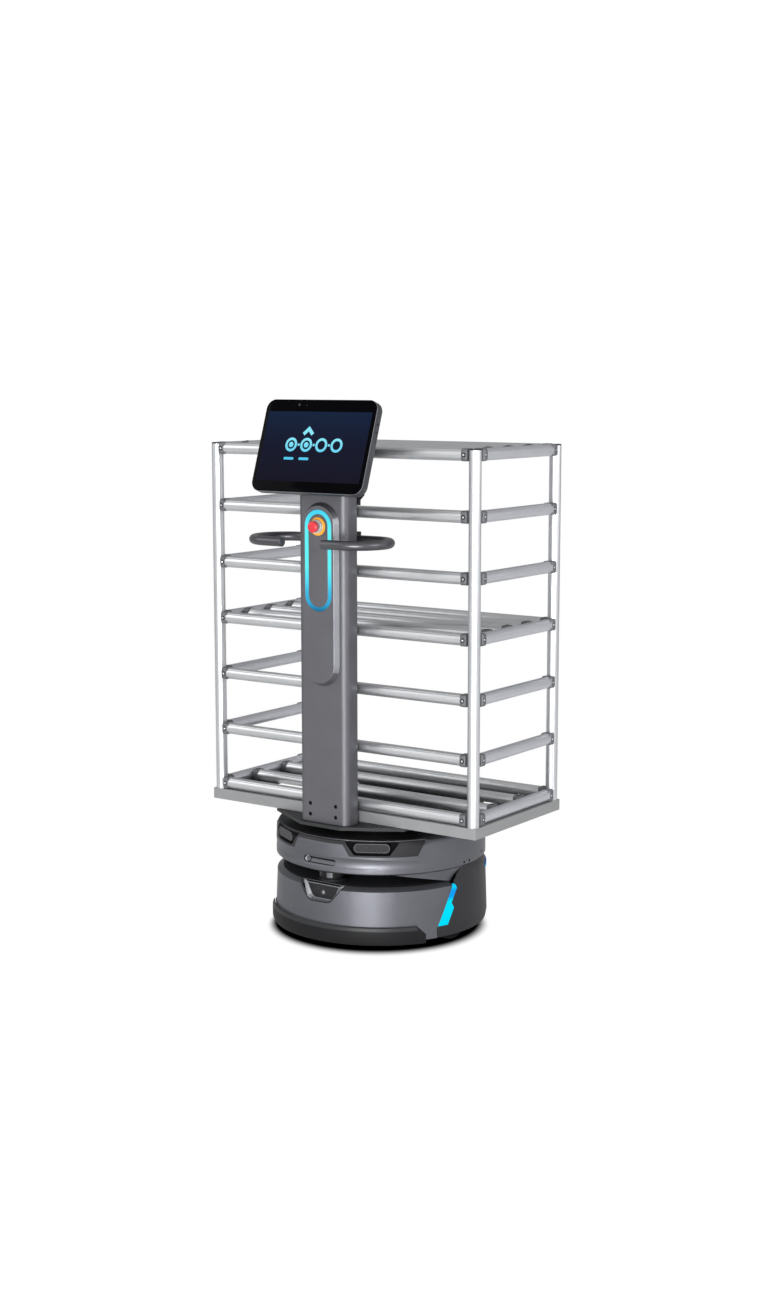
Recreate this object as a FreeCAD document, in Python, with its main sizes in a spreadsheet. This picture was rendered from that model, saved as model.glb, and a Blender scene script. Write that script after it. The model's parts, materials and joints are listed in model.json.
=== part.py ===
import FreeCAD, Part
import math
import os
import re
import Sketcher

from FreeCAD import Placement, Rotation, Vector

# Autonomous mobile robot with a pipe rack, a mast and a tablet.
# The frame stands on the floor at the middle of the whole machine.
# Its front looks along -Y and +Z is up. All sizes are in millimetres.

doc = FreeCAD.newDocument("deliveryRobot")
sheet = doc.addObject("Spreadsheet::Sheet", "sizes")

# Driving sizes, one named cell each
drivingSizes = (
    ("chassisY", 29.5, "round chassis axis, behind the frame's origin"),
    ("chassisRadius", 260, "round chassis at its widest"),
    ("shellFootInset", 1, "front shell at its foot, inside the widest radius"),
    ("shellTopInset", 6, "front shell at its shoulder, likewise"),
    ("shellWall", 3, "wall of the moulded shells"),
    ("shellFoot", 30, "ground clearance of the shells"),
    ("shoulderHeight", 148, "front shell shoulder"),
    ("gapFloor", 157, "floor of the scanning gap"),
    ("gapFloorInset", 20, "edge of the flat gap floor, likewise"),
    ("gapFloorReach", 120, "inner edge of the gap floor, likewise"),
    ("gapCeiling", 189, "underside of the upper ring"),
    ("rearFootInset", 3, "rear shell at its foot, likewise"),
    ("rearBellyHeight", 46, "where the rear shell is widest"),
    ("rearShoulderInset", 4, "rear shell at its shoulder, likewise"),
    ("rearShoulderHeight", 168, "rear shell shoulder"),
    ("rearTopInset", 11, "rear shell at its top edge, likewise"),
    ("rearFlangeReach", 45, "inner edge of the rear shell's top flange, likewise"),
    ("seamHeight", 188.5, "top of the rear shell"),
    ("seamGap", 0.5, "parting line between the shells"),
    ("edgeFootY", -106, "front edge of the rear shell at its foot, from the axis"),
    ("edgeFootHeight", 50, "where that edge starts to slant"),
    ("edgeLap", 0.6, "how far the ring's skirt stays before that edge"),
    ("edgeTopY", -55, "front edge of the rear shell above the side light"),
    ("edgeTopHeight", 152, "top of the slanted edge"),
    ("curlStartY", -53, "start of the curl towards the rear"),
    ("curlStartHeight", 162, "height of that start"),
    ("curlY", -44, "middle of the curl"),
    ("curlHeight", 172, "height of that middle"),
    ("curlEndY", -27, "end of the curl"),
    ("curlEndHeight", 184, "height of that end"),
    ("ringInset", 4, "upper ring outside, likewise"),
    ("ringInnerInset", 18, "upper ring inside, likewise"),
    ("ringTop", 272, "top face of the upper ring"),
    ("ringTopInset", 20, "outer edge of the ring's top face, likewise"),
    ("ringShoulder", 256, "where the ring starts to round over"),
    ("ringShoulderStep", 6, "how far the shoulder turns in at its upper bend"),
    ("ringShoulderDrop", 5, "height of that bend below the top face"),
    ("ringMouthInset", 60, "opening in the ring's top, likewise"),
    ("ringPlate", 4, "top flange of the ring"),
    ("ceilingReach", 116, "inner edge of the gap ceiling, likewise"),
    ("ceilingPlate", 3, "thickness of the gap ceiling"),
    ("skirtStartY", -190, "where the ring's skirt starts to come down"),
    ("skirtEndY", -62, "where the skirt meets the lower shell"),
    ("skirtEndHeight", 159, "lowest edge of the skirt"),
    ("skirtBevelLow", 2, "where the bevel starts, below the gap's ceiling"),
    ("skirtBevelHigh", 3, "where the bevel ends, above the gap's ceiling"),
    ("skirtDraft", 4, "how far the skirt leans in at its foot"),
    ("skirtInset", 6, "bevel under the ring's lower edge"),
    ("grooveHeight", 214, "middle of the scoop in the ring's front"),
    ("grooveBend", 16, "radius of the scoop"),
    ("grooveDepth", 8, "depth of the scoop at the front"),
    ("grooveShift", 16, "how fast the scoop fades to the sides"),
    ("visorFoot", 232.5, "lower edge of the visor"),
    ("visorBackInset", 10.5, "back of the visor, likewise"),
    ("visorFaceInset", 5, "face of the visor, likewise"),
    ("visorAngle", 36.6, "middle of each visor window, from the front"),
    ("visorTopHalf", 101, "half width of a window at its top"),
    ("visorFootHalf", 80, "half width of a window at its foot"),
    ("visorRimStep", 6.1, "upper edge of the visor, outside the ring's top face"),
    ("visorRimDrop", 4.3, "that edge below the top face"),
    ("visorRimFoot", 8, "its rear side, likewise"),
    ("visorEdgeStep", 9.4, "bevel along that edge, outside the ring's top face"),
    ("visorEdgeDrop", 6, "that bevel below the top face"),
    ("visorWedge", 1.8, "back of the visor, below the ring's shoulder"),
    ("visorJoin", 4, "overlap of the strip with each window"),
    ("visorStripFoot", 260, "lower edge of that strip"),
    ("inlayGap", 0.3, "clearance of inlaid panels"),
    ("cameraAngle", 30.4, "middle of each depth camera, from the front"),
    ("cameraHeight", 253, "depth camera centre"),
    ("cameraEnd", 11.5, "radius of the depth camera's ends"),
    ("cameraHalf", 31.5, "from the camera's middle to the centre of its end"),
    ("cameraInset", 8.5, "depth camera face, likewise"),
    ("cameraDepth", 25, "depth camera body"),
    ("pitInset", 19, "floor of the recess round a depth camera, likewise"),
    ("pitPlate", 2, "walls of that recess"),
    ("pitTopHalf", 64, "half width of the recess at its top"),
    ("pitFootHalf", 42, "half width of the recess at its foot"),
    ("pitRise", 3, "foot of the recess, above the visor's lower edge"),
    ("pitDrop", 6, "top of the recess, below the ring's top face"),
    ("rangeHeight", 213, "middle of the front range window"),
    ("rangeEnd", 7.5, "radius of its ends"),
    ("rangeHalf", 38.5, "from its middle to the centre of its end"),
    ("rangeInset", 17, "range window face, likewise"),
    ("rangeDepth", 9, "range window body"),
    ("bezelTopHalf", 64, "front camera recess, half width at the top"),
    ("bezelFootHalf", 30, "front camera recess, half width at the foot"),
    ("bezelFoot", 116, "foot of the recess"),
    ("bezelTop", 160, "top of the recess"),
    ("bezelFaceInset", 17, "flat inside the camera recess, likewise"),
    ("bezelBackInset", 28, "back of the camera bezel, likewise"),
    ("bezelDraft", 20, "slant of the recess's walls, in degrees"),
    ("frameTopHalf", 50, "flat inside the recess, half width at the top"),
    ("frameFootHalf", 28, "flat inside the recess, half width at the foot"),
    ("frameFoot", 118.5, "foot of the flat"),
    ("panelTopHalf", 43, "camera window, half width at the top"),
    ("panelFootHalf", 25, "camera window, half width at the foot"),
    ("panelFoot", 123, "foot of the camera window"),
    ("panelTop", 152, "top of the camera window"),
    ("panelDepth", 3, "thickness of the camera window"),
    ("bumperReach", 7, "bumper outside, beyond the widest radius"),
    ("bumperGap", 1.5, "bumper inside, beyond the widest radius"),
    ("bumperFoot", 23, "lower edge of the bumper"),
    ("bumperTop", 66.5, "upper edge of the bumper"),
    ("bumperFootInset", 3, "lower edge, inside the bumper's face"),
    ("bumperFootRise", 8, "height of the bend above the lower edge"),
    ("bumperBevel", 10, "height of the slant along its upper edge"),
    ("bumperSlant", 2.5, "how far that slant leans in"),
    ("bumperRound", 2, "height of the last bevel under the upper edge"),
    ("bumperHalf", 224.5, "half width of the bumper at its foot"),
    ("bumperTopHalf", 210.5, "half width at its upper edge"),
    ("bumperStep", 44, "where the slanted end starts"),
    ("plungerX", 90, "bumper plungers, to each side"),
    ("plungerHeight", 48, "plunger axis"),
    ("plungerRadius", 5, "plunger rod"),
    ("plungerTailInset", 61, "inner end of the plunger, likewise"),
    ("plungerCollar", 8, "plunger collar radius"),
    ("collarInset", 30, "collar's inner face, likewise"),
    ("collarWidth", 2, "collar thickness"),
    ("springPlay", 0.5, "radial play of a spring on its plunger"),
    ("guideFrontInset", 38, "front of the guide block, likewise"),
    ("guideBackInset", 60, "back of the guide block, likewise"),
    ("guideWidth", 24, "guide block width"),
    ("slideFit", 0.05, "radial clearance of sliding and turning fits"),
    ("throughFit", 2, "radial clearance where a rod passes a shell"),
    ("plateInset", 11, "edge of the base plate, likewise"),
    ("ledgeStep", 1.5, "how far the walls lean in above that ledge"),
    ("ledgeInset", 14, "inner edge of the shells' ledge, likewise"),
    ("ledgeHeight", 3, "thickness of that ledge"),
    ("plateFoot", 64, "underside of the base plate"),
    ("plateThickness", 6, "base plate thickness"),
    ("columnXInset", 160, "support columns, to each side, likewise"),
    ("columnYInset", 177, "support columns, fore and aft, likewise"),
    ("columnRadius", 8, "support columns"),
    ("coverFoot", 264, "underside of the top cover"),
    ("coverRimInset", 45, "rim of the top cover under the ring, likewise"),
    ("spacerInnerInset", 120, "inside of the raised ring that carries the deck, likewise"),
    ("spacerOuterInset", 90, "outside of that raised ring, likewise"),
    ("shroudInnerInset", 113, "inside of the dark wall in the gap, likewise"),
    ("shroudOuterInset", 110, "outside of that wall, likewise"),
    ("shroudPlay", 0.2, "play at the wall's ends"),
    ("deckRise", 28, "top face of the deck plate, above the upper ring"),
    ("deckThickness", 8, "deck plate"),
    ("deckInset", 5, "circle through the corners of the deck plate, likewise"),
    ("deckNose", 13, "angle of the front corners"),
    ("deckCheek", 48, "angle of the side corners"),
    ("deckHoleX", 80, "payload holes, to each side"),
    ("deckHoleY", 93, "payload holes, fore and aft"),
    ("deckHoleRadius", 3.3, "payload holes"),
    ("lidarInset", 65, "laser scanner axis, likewise"),
    ("lidarRadius", 35, "laser scanner"),
    ("lidarBase", 6, "height of its fixed base"),
    ("lidarLip", 1, "how far the base stands out round the head"),
    ("lidarBevel", 3, "bevel of the head's upper edge"),
    ("lidarPlay", 0.3, "gap under the turning head"),
    ("lidarHead", 20, "height of the turning head"),
    ("lidarShaft", 6, "radius of its shaft"),
    ("lidarShaftLength", 5, "length of its shaft"),
    ("batteryX", 170, "battery width"),
    ("batteryY", 130, "battery depth"),
    ("batteryHeight", 75, "battery height"),
    ("batteryStart", 30, "front of the battery, behind the axis"),
    ("controllerX", 170, "controller width"),
    ("controllerY", 110, "controller depth"),
    ("controllerHeight", 45, "controller height"),
    ("controllerStart", -150, "front of the controller, from the axis"),
    ("wheelRadius", 80, "drive wheel"),
    ("wheelInset", 65, "middle of the drive wheel, likewise"),
    ("wheelWidth", 44, "drive wheel"),
    ("tyreWall", 14, "tyre thickness"),
    ("tyreBevel", 3, "bevel of the tyre's shoulders"),
    ("hubFace", 46, "radius of the raised boss on the hub"),
    ("hubBoss", 3, "height of that boss"),
    ("hubSeat", 2, "depth of the seat for the axle's cap"),
    ("axleRadius", 6, "drive wheel axle"),
    ("axleFit", 0.1, "radial play of the axle in its bracket"),
    ("axleHead", 9, "radius of the axle's outer cap"),
    ("bracketPlay", 9, "from the wheel to its bracket"),
    ("bracketPlate", 6, "wheel bracket thickness"),
    ("bracketFoot", 4, "thickness of its feet"),
    ("bracketBrace", 8, "brace in the bracket's corner"),
    ("bracketReach", 38, "how far its feet reach inwards"),
    ("bracketHalf", 45, "half length of the bracket"),
    ("bracketNotch", 16, "half gap between its feet"),
    ("bracketRise", 40, "height of the bracket over the base plate"),
    ("nutRadius", 11, "axle nut, across its corners"),
    ("nutWidth", 8, "axle nut"),
    ("threadEnd", 2, "thread that stands out of the nut"),
    ("slotPlay", 5, "room round the wheel in the base plate"),
    ("casterXInset", 155, "swivel casters, to each side, inside the widest radius"),
    ("casterYInset", 112, "swivel casters, fore and aft, likewise"),
    ("casterRadius", 25, "caster wheel"),
    ("casterWidth", 20, "caster wheel"),
    ("casterTrail", 22, "from the swivel axis to the wheel axle"),
    ("casterBore", 4, "radius of the caster axle"),
    ("casterHub", 10, "hub of a caster wheel"),
    ("casterDish", 2, "depth of the dished sides"),
    ("casterTread", 18, "inside of the tread"),
    ("casterShoulder", 3, "bevel of the tread"),
    ("forkPlate", 3, "fork thickness"),
    ("forkPlay", 1.5, "side play of the caster wheel"),
    ("forkHead", 4, "thickness of the fork's head"),
    ("forkWidth", 22, "width of a fork leg"),
    ("forkNose", 19, "front of the fork's head, from the swivel axis"),
    ("forkBevel", 5, "bevel of a fork leg's foot"),
    ("forkHeel", 4, "rear of a leg below its head, behind the axle"),
    ("swivelRadius", 6, "swivel stem"),
    ("swivelCap", 8.5, "cap on the swivel stem"),
    ("swivelCapHeight", 2.5, "thickness of that cap"),
    ("mountRadius", 27, "caster mounting disc"),
    ("mountHeight", 6, "caster mounting disc"),
    ("cutPast", 1, "how far cutting shapes reach past a face"),
    ("bodyPlay", 0.3, "gap between pieces that move on each other"),
    ("lightBackInset", 10, "back of the status lights, likewise"),
    ("lightFaceInset", 1.5, "face of the status lights, likewise"),
    ("lightHeelY", -76, "lower rear corner of the side light, from the axis"),
    ("lightFoot", 57, "lower edge of the side light"),
    ("lightKneeY", -57.5, "step in the side light"),
    ("lightKnee", 95.5, "height of that step"),
    ("lightWaistY", -65, "waist of the side light"),
    ("lightWaist", 108, "height of that waist"),
    ("lightTipY", -48, "upper rear corner of the side light"),
    ("lightTip", 142, "height of that corner"),
    ("tailAngle", 133, "middle of the tail lights, from the front"),
    ("tailHalf", 74, "half width of a tail light"),
    ("tailFoot", 155, "lower edge of a tail light"),
    ("tailTop", 166, "upper edge of a tail light"),
    ("contactHalf", 45, "outer end of the charging contacts"),
    ("contactInner", 9, "inner end of the charging contacts"),
    ("contactFoot", 66, "lower edge of the charging contacts"),
    ("contactHeight", 14, "height of the charging contacts"),
    ("contactInset", 2, "face of the charging contacts, likewise"),
    ("contactDepth", 8, "depth of the charging contacts"),
    ("buttonRadius", 8, "power button"),
    ("buttonHeight", 122, "power button axis"),
    ("buttonInset", 0.5, "power button face, likewise"),
    ("buttonDepth", 9, "power button length"),
    ("trayHeight", 26, "tray edge"),
    ("trayWall", 2, "sheet thickness"),
    ("trayRimX", 104, "rim beside the tray's cut-out"),
    ("trayRimY", 75, "rim before and behind the cut-out"),
    ("rackStandoff", 19.5, "front posts, behind the mast's back"),
    ("rackX", 740, "post centres, side to side"),
    ("rackDepth", 350, "post centres, front to rear"),
    ("postOverhang", 13.52, "post tops above the highest rails"),
    ("pipeRadius", 14, "28 mm pipe"),
    ("pipeWall", 1.6, "pipe wall"),
    ("capHeight", 3, "post caps"),
    ("railPlay", 1, "gap under the lowest rails"),
    ("railPitch", 137.58, "height from rail to rail"),
    ("jointLength", 15, "visible length of a pipe joint"),
    ("jointHalf", 15, "half height of a pipe joint"),
    ("jointBevel", 6, "bevel of a pipe joint"),
    ("mastFront", -206, "front face of the mast"),
    ("mastX", 138, "mast width"),
    ("mastY", 55, "mast depth"),
    ("mastTop", 1172, "top of the mast"),
    ("mastWall", 3, "mast wall"),
    ("mastCorner", 16, "rounding of the mast's edges"),
    ("mastInnerBevel", 8, "bevel inside those edges"),
    ("mastHoleRadius", 3.8, "screw holes at the mast's foot"),
    ("mastHoleX", 37, "screw holes, to each side"),
    ("mastHoleLow", 17.7, "lower screw holes over the deck"),
    ("mastHoleHigh", 43.7, "upper screw holes over the deck"),
    ("footHeight", 60, "block inside the mast's foot"),
    ("footFit", 0.3, "play of that block"),
    ("panelHalf", 51.6, "raised panel, half width at its base"),
    ("panelFaceHalf", 44, "raised panel, half width at its face"),
    ("panelLength", 427, "length of the raised panel"),
    ("panelHeadDrop", 119, "head of the raised panel, below the mast's top"),
    ("panelRise", 13, "how far the panel stands out"),
    ("glowOuter", 37.4, "light ring, outer half width"),
    ("glowInner", 28, "light ring, inner half width"),
    ("glowFootMargin", 176, "foot of the light ring, above the panel's foot"),
    ("glowHeadMargin", 17, "head of the light ring, below the panel's head"),
    ("glowSeat", 2.5, "depth of the light ring's groove"),
    ("glowPlay", 0.1, "play behind the light ring"),
    ("glowThickness", 3, "thickness of the light ring"),
    ("stopDrop", 55, "emergency stop axis, below the panel's head"),
    ("stopFlange", 21, "emergency stop, round flange"),
    ("stopFlangeWidth", 2, "thickness of that flange"),
    ("stopCollar", 15.5, "emergency stop collar"),
    ("stopCollarLength", 8, "length of the collar"),
    ("stopBarrel", 11, "threaded barrel through the panel"),
    ("stopBarrelLength", 30, "length of the barrel"),
    ("stopStem", 7, "stem of the head"),
    ("stopTravel", 4, "travel of the head"),
    ("stopHead", 13, "radius of the red head"),
    ("stopHeadLength", 10, "thickness of the red head"),
    ("stopBackBevel", 1.5, "bevel of the head's rear edge"),
    ("stopFaceBevel", 3, "bevel of the head's front edge"),
    ("stopSocket", 5, "depth of the head's socket"),
    ("barDrop", 208, "handlebar axis, below the mast's top"),
    ("barRadius", 11, "handlebar tube"),
    ("barWall", 2, "handlebar wall"),
    ("barFront", -278.5, "front run of the handlebar"),
    ("barRear", -135.5, "rear run of the handlebar"),
    ("barEndX", 57.6, "free ends of the handlebar"),
    ("barBendX", 106.5, "where the bends start"),
    ("clampX", 40, "handlebar clamps, to each side"),
    ("clampWidth", 20, "handlebar clamp"),
    ("clampHalf", 18, "half height of a clamp"),
    ("clampBack", -119, "rear face of the clamps"),
    ("tabletAhead", 28.8, "middle of the display, before the mast's face"),
    ("tabletRise", 8, "middle of the display, above the mast's top"),
    ("tabletTilt", 18.95, "lean of the tablet"),
    ("tabletX", 315, "tablet width"),
    ("tabletUp", 111.8, "from the display's middle to the upper edge"),
    ("tabletDown", 108.2, "from the display's middle to the lower edge"),
    ("tabletDepth", 26, "tablet thickness"),
    ("tabletCorner", 24, "rounding of the tablet's corners"),
    ("tabletEdge", 7, "rounding of the tablet's back"),
    ("glassThickness", 2, "front glass"),
    ("displayX", 294, "display width"),
    ("displayZ", 165.4, "display height"),
    ("displaySeat", 0.5, "depth of the display in the glass"),
    ("keyX", 17, "tablet key, to the right"),
    ("keyHalf", 12, "half length of the key"),
    ("keyRise", 1.2, "how far the key stands out"),
    ("keyDepth", 4, "depth of the key in the shell"),
    ("keyWidth", 5, "width of the key"),
    ("keyFit", 0.3, "play of the key"),
    ("yokePlate", 4, "sheet of the tablet bracket"),
    ("yokeLowDrop", 135, "lower edge of the bracket, below the display's middle"),
    ("yokeNeckDrop", 123, "where the bracket starts to flare, likewise"),
    ("yokeFlareDrop", 112, "where the flare ends, likewise"),
    ("yokeTopDrop", 30, "upper edge of the bracket, likewise"),
    ("yokePlay", 7, "from the mast's flank to the bracket's cheek"),
    ("yokeReach", 60, "lower edge of a cheek, from the mast's back"),
    ("yokeLipDrop", 95, "where a cheek meets the tablet, likewise"),
    ("padLow", 92, "lower edge of the mounting plate, below the display's middle"),
    ("padHigh", 24, "upper edge of the mounting plate, below the display's middle"),
)

# Sizes that follow others
derivedSizes = {
    "shellFootRadius": "(chassisRadius - shellFootInset)",
    "shellTopRadius": "(chassisRadius - shellTopInset)",
    "gapFloorRadius": "(chassisRadius - gapFloorInset)",
    "gapFloorInner": "(chassisRadius - gapFloorReach)",
    "rearFootRadius": "(chassisRadius - rearFootInset)",
    "rearShoulderRadius": "(chassisRadius - rearShoulderInset)",
    "rearTopRadius": "(chassisRadius - rearTopInset)",
    "rearFlangeInner": "(chassisRadius - rearFlangeReach)",
    "ringRadius": "(chassisRadius - ringInset)",
    "ringInner": "(chassisRadius - ringInnerInset)",
    "ringTopRadius": "(chassisRadius - ringTopInset)",
    "ringMouth": "(chassisRadius - ringMouthInset)",
    "ceilingInner": "(chassisRadius - ceilingReach)",
    "visorInner": "(chassisRadius - visorBackInset)",
    "visorOuter": "(chassisRadius - visorFaceInset)",
    "cameraFace": "(chassisRadius - cameraInset)",
    "pitFloor": "(chassisRadius - pitInset)",
    "pitFoot": "(visorFoot + pitRise)",
    "rangeFace": "(chassisRadius - rangeInset)",
    "bezelFace": "(chassisRadius - bezelFaceInset)",
    "bezelBack": "(chassisRadius - bezelBackInset)",
    "plungerTail": "(chassisRadius - plungerTailInset)",
    "collarFace": "(chassisRadius - collarInset)",
    "guideFront": "(chassisRadius - guideFrontInset)",
    "guideBack": "(chassisRadius - guideBackInset)",
    "plateRadius": "(chassisRadius - plateInset)",
    "ledgeInner": "(chassisRadius - ledgeInset)",
    "coverRim": "(chassisRadius - coverRimInset)",
    "spacerInner": "(chassisRadius - spacerInnerInset)",
    "spacerOuter": "(chassisRadius - spacerOuterInset)",
    "shroudInner": "(chassisRadius - shroudInnerInset)",
    "shroudOuter": "(chassisRadius - shroudOuterInset)",
    "deckRadius": "(chassisRadius - deckInset)",
    "lidarReach": "(chassisRadius - lidarInset)",
    "lightInner": "(chassisRadius - lightBackInset)",
    "lightOuter": "(chassisRadius - lightFaceInset)",
    "contactFace": "(chassisRadius - contactInset)",
    "buttonFace": "(chassisRadius - buttonInset)",
    "wheelX": "(chassisRadius - wheelInset)",
    "bumperRadius": "(chassisRadius + bumperReach)",
    "bumperInner": "(chassisRadius + bumperGap)",
    "rearBellyRadius": "chassisRadius",
    "stopHeight": "(panelHigh - stopDrop)",
    "glowHigh": "(panelHigh - glowHeadMargin)",
    "glowLow": "(panelLow + glowFootMargin)",
    "yokeLow": "(tabletHeight - yokeLowDrop)",
    "yokeNeck": "(tabletHeight - yokeNeckDrop)",
    "yokeFlare": "(tabletHeight - yokeFlareDrop)",
    "yokeTop": "(tabletHeight - yokeTopDrop)",
    "yokeLip": "(tabletHeight - yokeLipDrop)",
    "tabletY": "(mastFront - tabletAhead)",
    "deckTop": "(ringTop + deckRise)",
    "rackTop": "(bottomRail + 6 * railPitch + postOverhang)",
    "bottomRail": "(deckTop + trayHeight + pipeRadius + railPlay)",
    "panelHigh": "(mastTop - panelHeadDrop)",
    "panelLow": "(panelHigh - panelLength)",
    "tabletHeight": "(mastTop + tabletRise)",
    "barHeight": "(mastTop - barDrop)",
    "trayX": "(rackX + 2 * jointHalf)",
    "trayY": "(rackDepth + 2 * jointHalf)",
    "rackY": "(mastFront + mastY + rackStandoff + rackDepth / 2)",
    "visorStripHalf": "(visorOuter * sin(visorAngle) - visorTopHalf * cos(visorAngle) + visorJoin)",
    "casterX": "(chassisRadius - casterXInset)",
    "casterY": "(chassisRadius - casterYInset)",
    "columnX": "(chassisRadius - columnXInset)",
    "columnY": "(chassisRadius - columnYInset)",
    "yokeNeckHalf": "(mastX / 2)",
    "yokeHalf": "(mastX / 2 + yokePlate + yokePlay)",
}

sheet.set("A1", "size")
sheet.set("B1", "millimetres or degrees")
sheet.set("C1", "what it is")
value = {}
for row, (alias, number, meaning) in enumerate(drivingSizes, start=2):
    sheet.set("A%d" % row, alias)
    sheet.set("B%d" % row, str(number))
    sheet.set("C%d" % row, meaning)
    sheet.setAlias("B%d" % row, alias)
    value[alias] = number
doc.recompute()

frontTurn = Rotation(Vector(1, 0, 0), 90)
sideTurn = Rotation(Vector(1, 1, 1), 120)
upTurn = Rotation()
sidewaysTurn = Rotation(Vector(0, 1, 0), 90)
flatDown = Rotation(Vector(0, 0, 1), 30)
aliasWord = re.compile(r"[A-Za-z]\w*")
subParts = []


def tied(text):
    # A formula in which every named size points at its cell
    def cell(word):
        name = word.group()
        if name in derivedSizes:
            return tied(derivedSizes[name])
        return "sizes." + name if name in value else name
    return aliasWord.sub(cell, str(text))


def bind(item, **formulas):
    for name, text in formulas.items():
        item.setExpression(name, tied(text))
    return item


def place(item, x=0, y=0, z=0, turn=upTurn):
    item.Placement = Placement(Vector(), turn)
    for axis, text in (("x", x), ("y", y), ("z", z)):
        if text != 0:
            item.setExpression("Placement.Base." + axis, tied(text))
    return item


def aroundAxis(item, angle):
    # Turn a piece of the chassis about the chassis axis, 0 is the front
    item.Placement = Placement(Vector(), Rotation(Vector(0, 0, 1), 1))
    item.setExpression("Placement.Rotation.Angle", tied(angle))
    return item


def part(kind, name, **formulas):
    return bind(doc.addObject("Part::" + kind, name), **formulas)


def rod(name, radius, length, x=0, y=0, z=0, turn=upTurn):
    item = part("Cylinder", name, Radius=radius, Height=length)
    return place(item, x, y, z, turn)


def block(name, sizeX, sizeY, sizeZ, x=0, y=0, z=0):
    item = part("Box", name, Length=sizeX, Width=sizeY, Height=sizeZ)
    return place(item, x, y, z)


def slab(name, sizeX, sizeY, sizeZ, y=0, z=0, x=0):
    # A block centred on x
    return block(name, sizeX, sizeY, sizeZ, "%s - (%s) / 2" % (x, sizeX), y, z)


def cut(name, base, *tools):
    item = doc.addObject("Part::Cut", name)
    item.Base = base
    item.Tool = tools[0] if len(tools) == 1 else fuse(name + "Tools", *tools)
    return item


def fuse(name, *shapes):
    item = doc.addObject("Part::MultiFuse", name)
    item.Shapes = list(shapes)
    item.Refine = True
    return item


def common(name, *shapes):
    item = doc.addObject("Part::MultiCommon", name)
    item.Shapes = list(shapes)
    return item


def group(name, pieces):
    item = doc.addObject("Part::Compound", name)
    item.Links = list(pieces)
    return item


def tube(name, radius, wall, length, x=0, y=0, z=0, turn=upTurn):
    outside = rod(name + "Outside", radius, length)
    inside = rod(name + "Inside", "%s - (%s)" % (radius, wall), length)
    return place(cut(name, outside, inside), x, y, z, turn)


def drawPolygon(sketch, corners):
    # A closed polygon whose corners are held by their distances from the origin
    count = len(corners)
    turns = [2 * math.pi * step / count for step in range(count + 1)]
    spots = [Vector(math.cos(turn), math.sin(turn)) * 100 for turn in turns]
    for step in range(count):
        sketch.addGeometry(Part.LineSegment(spots[step], spots[step + 1]), False)
    for step in range(count):
        following = (step + 1) % count
        sketch.addConstraint(Sketcher.Constraint("Coincident", step, 2, following, 1))
    for step, corner in enumerate(corners):
        for kind, text in zip(("DistanceX", "DistanceY"), corner):
            held = sketch.addConstraint(Sketcher.Constraint(kind, -1, 1, step, 1, 1.0))
            sketch.setExpression("Constraints[%d]" % held, tied(text))


def outline(name, corners, turn=upTurn):
    sketch = doc.addObject("Sketcher::SketchObject", name + "Outline")
    sketch.Placement = Placement(Vector(), turn)
    drawPolygon(sketch, corners)
    return sketch


def prism(name, corners, turn, forward, backward=0, taper=None):
    # An outline pushed along its normal, forward and backward from its plane
    item = doc.addObject("Part::Extrusion", name)
    item.Base = outline(name, corners, turn)
    item.DirMode = "Normal"
    item.Solid = True
    bind(item, LengthFwd=forward, LengthRev=backward)
    if taper is not None:
        bind(item, TaperAngle=taper)
    return item


def turned(name, corners, angle=360):
    # A radius and height outline turned about the upright axis
    item = doc.addObject("Part::Revolution", name)
    item.Source = outline(name, corners, frontTurn)
    item.Axis = Vector(0, 0, 1)
    item.Solid = True
    return bind(item, Angle=angle)


def lying(name, end, half, length, x=0, y=0, z=0):
    # A slot shape across the front, its length running forward from y
    spanned = [block(name + "Middle", "2 * (%s)" % half, length, "2 * (%s)" % end,
                     "-(%s)" % half, "-(%s)" % length, "-(%s)" % end)]
    for side, sign in (("Left", "-"), ("Right", "")):
        spanned.append(rod(name + side, end, length, sign + "(%s)" % half, 0, 0, frontTurn))
    return place(fuse(name, *spanned), x, y, z)


def standing(name, end, low, high, length, y):
    # A slot shape up the front of the mast, its length running forward from y
    ends = ("%s + (%s)" % (low, end), "%s - (%s)" % (high, end))
    spanned = [block(name + "Middle", "2 * (%s)" % end, length,
                     "%s - (%s) - 2 * (%s)" % (high, low, end),
                     "-(%s)" % end, "%s - (%s)" % (y, length), ends[0])]
    for side, height in zip(("Low", "High"), ends):
        spanned.append(rod(name + side, end, length, 0, y, height, frontTurn))
    return fuse(name, *spanned)


def originPlane(body, role):
    return [plane for plane in body.Origin.OriginFeatures if plane.Role == role][0]


def bodySketch(body, name, role, corners, offset=0):
    sketch = body.newObject("Sketcher::SketchObject", name)
    sketch.AttachmentSupport = [(originPlane(body, role), "")]
    sketch.MapMode = "FlatFace"
    if offset != 0:
        sketch.setExpression("AttachmentOffset.Base.z", tied(offset))
    drawPolygon(sketch, corners)
    return sketch


def circles(body, name, role, radius, centres, offset=0):
    sketch = body.newObject("Sketcher::SketchObject", name)
    sketch.AttachmentSupport = [(originPlane(body, role), "")]
    sketch.MapMode = "FlatFace"
    if offset != 0:
        sketch.setExpression("AttachmentOffset.Base.z", tied(offset))
    for step, centre in enumerate(centres):
        spot = Vector(50 * step + 1, 50 * step + 1)
        sketch.addGeometry(Part.Circle(spot, Vector(0, 0, 1), 2), False)
        held = sketch.addConstraint(Sketcher.Constraint("Radius", step, 2))
        sketch.setExpression("Constraints[%d]" % held, tied(radius))
        for kind, text in zip(("DistanceX", "DistanceY"), centre):
            held = sketch.addConstraint(Sketcher.Constraint(kind, -1, 1, step, 3, 1.0))
            sketch.setExpression("Constraints[%d]" % held, tied(text))
    return sketch


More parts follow.
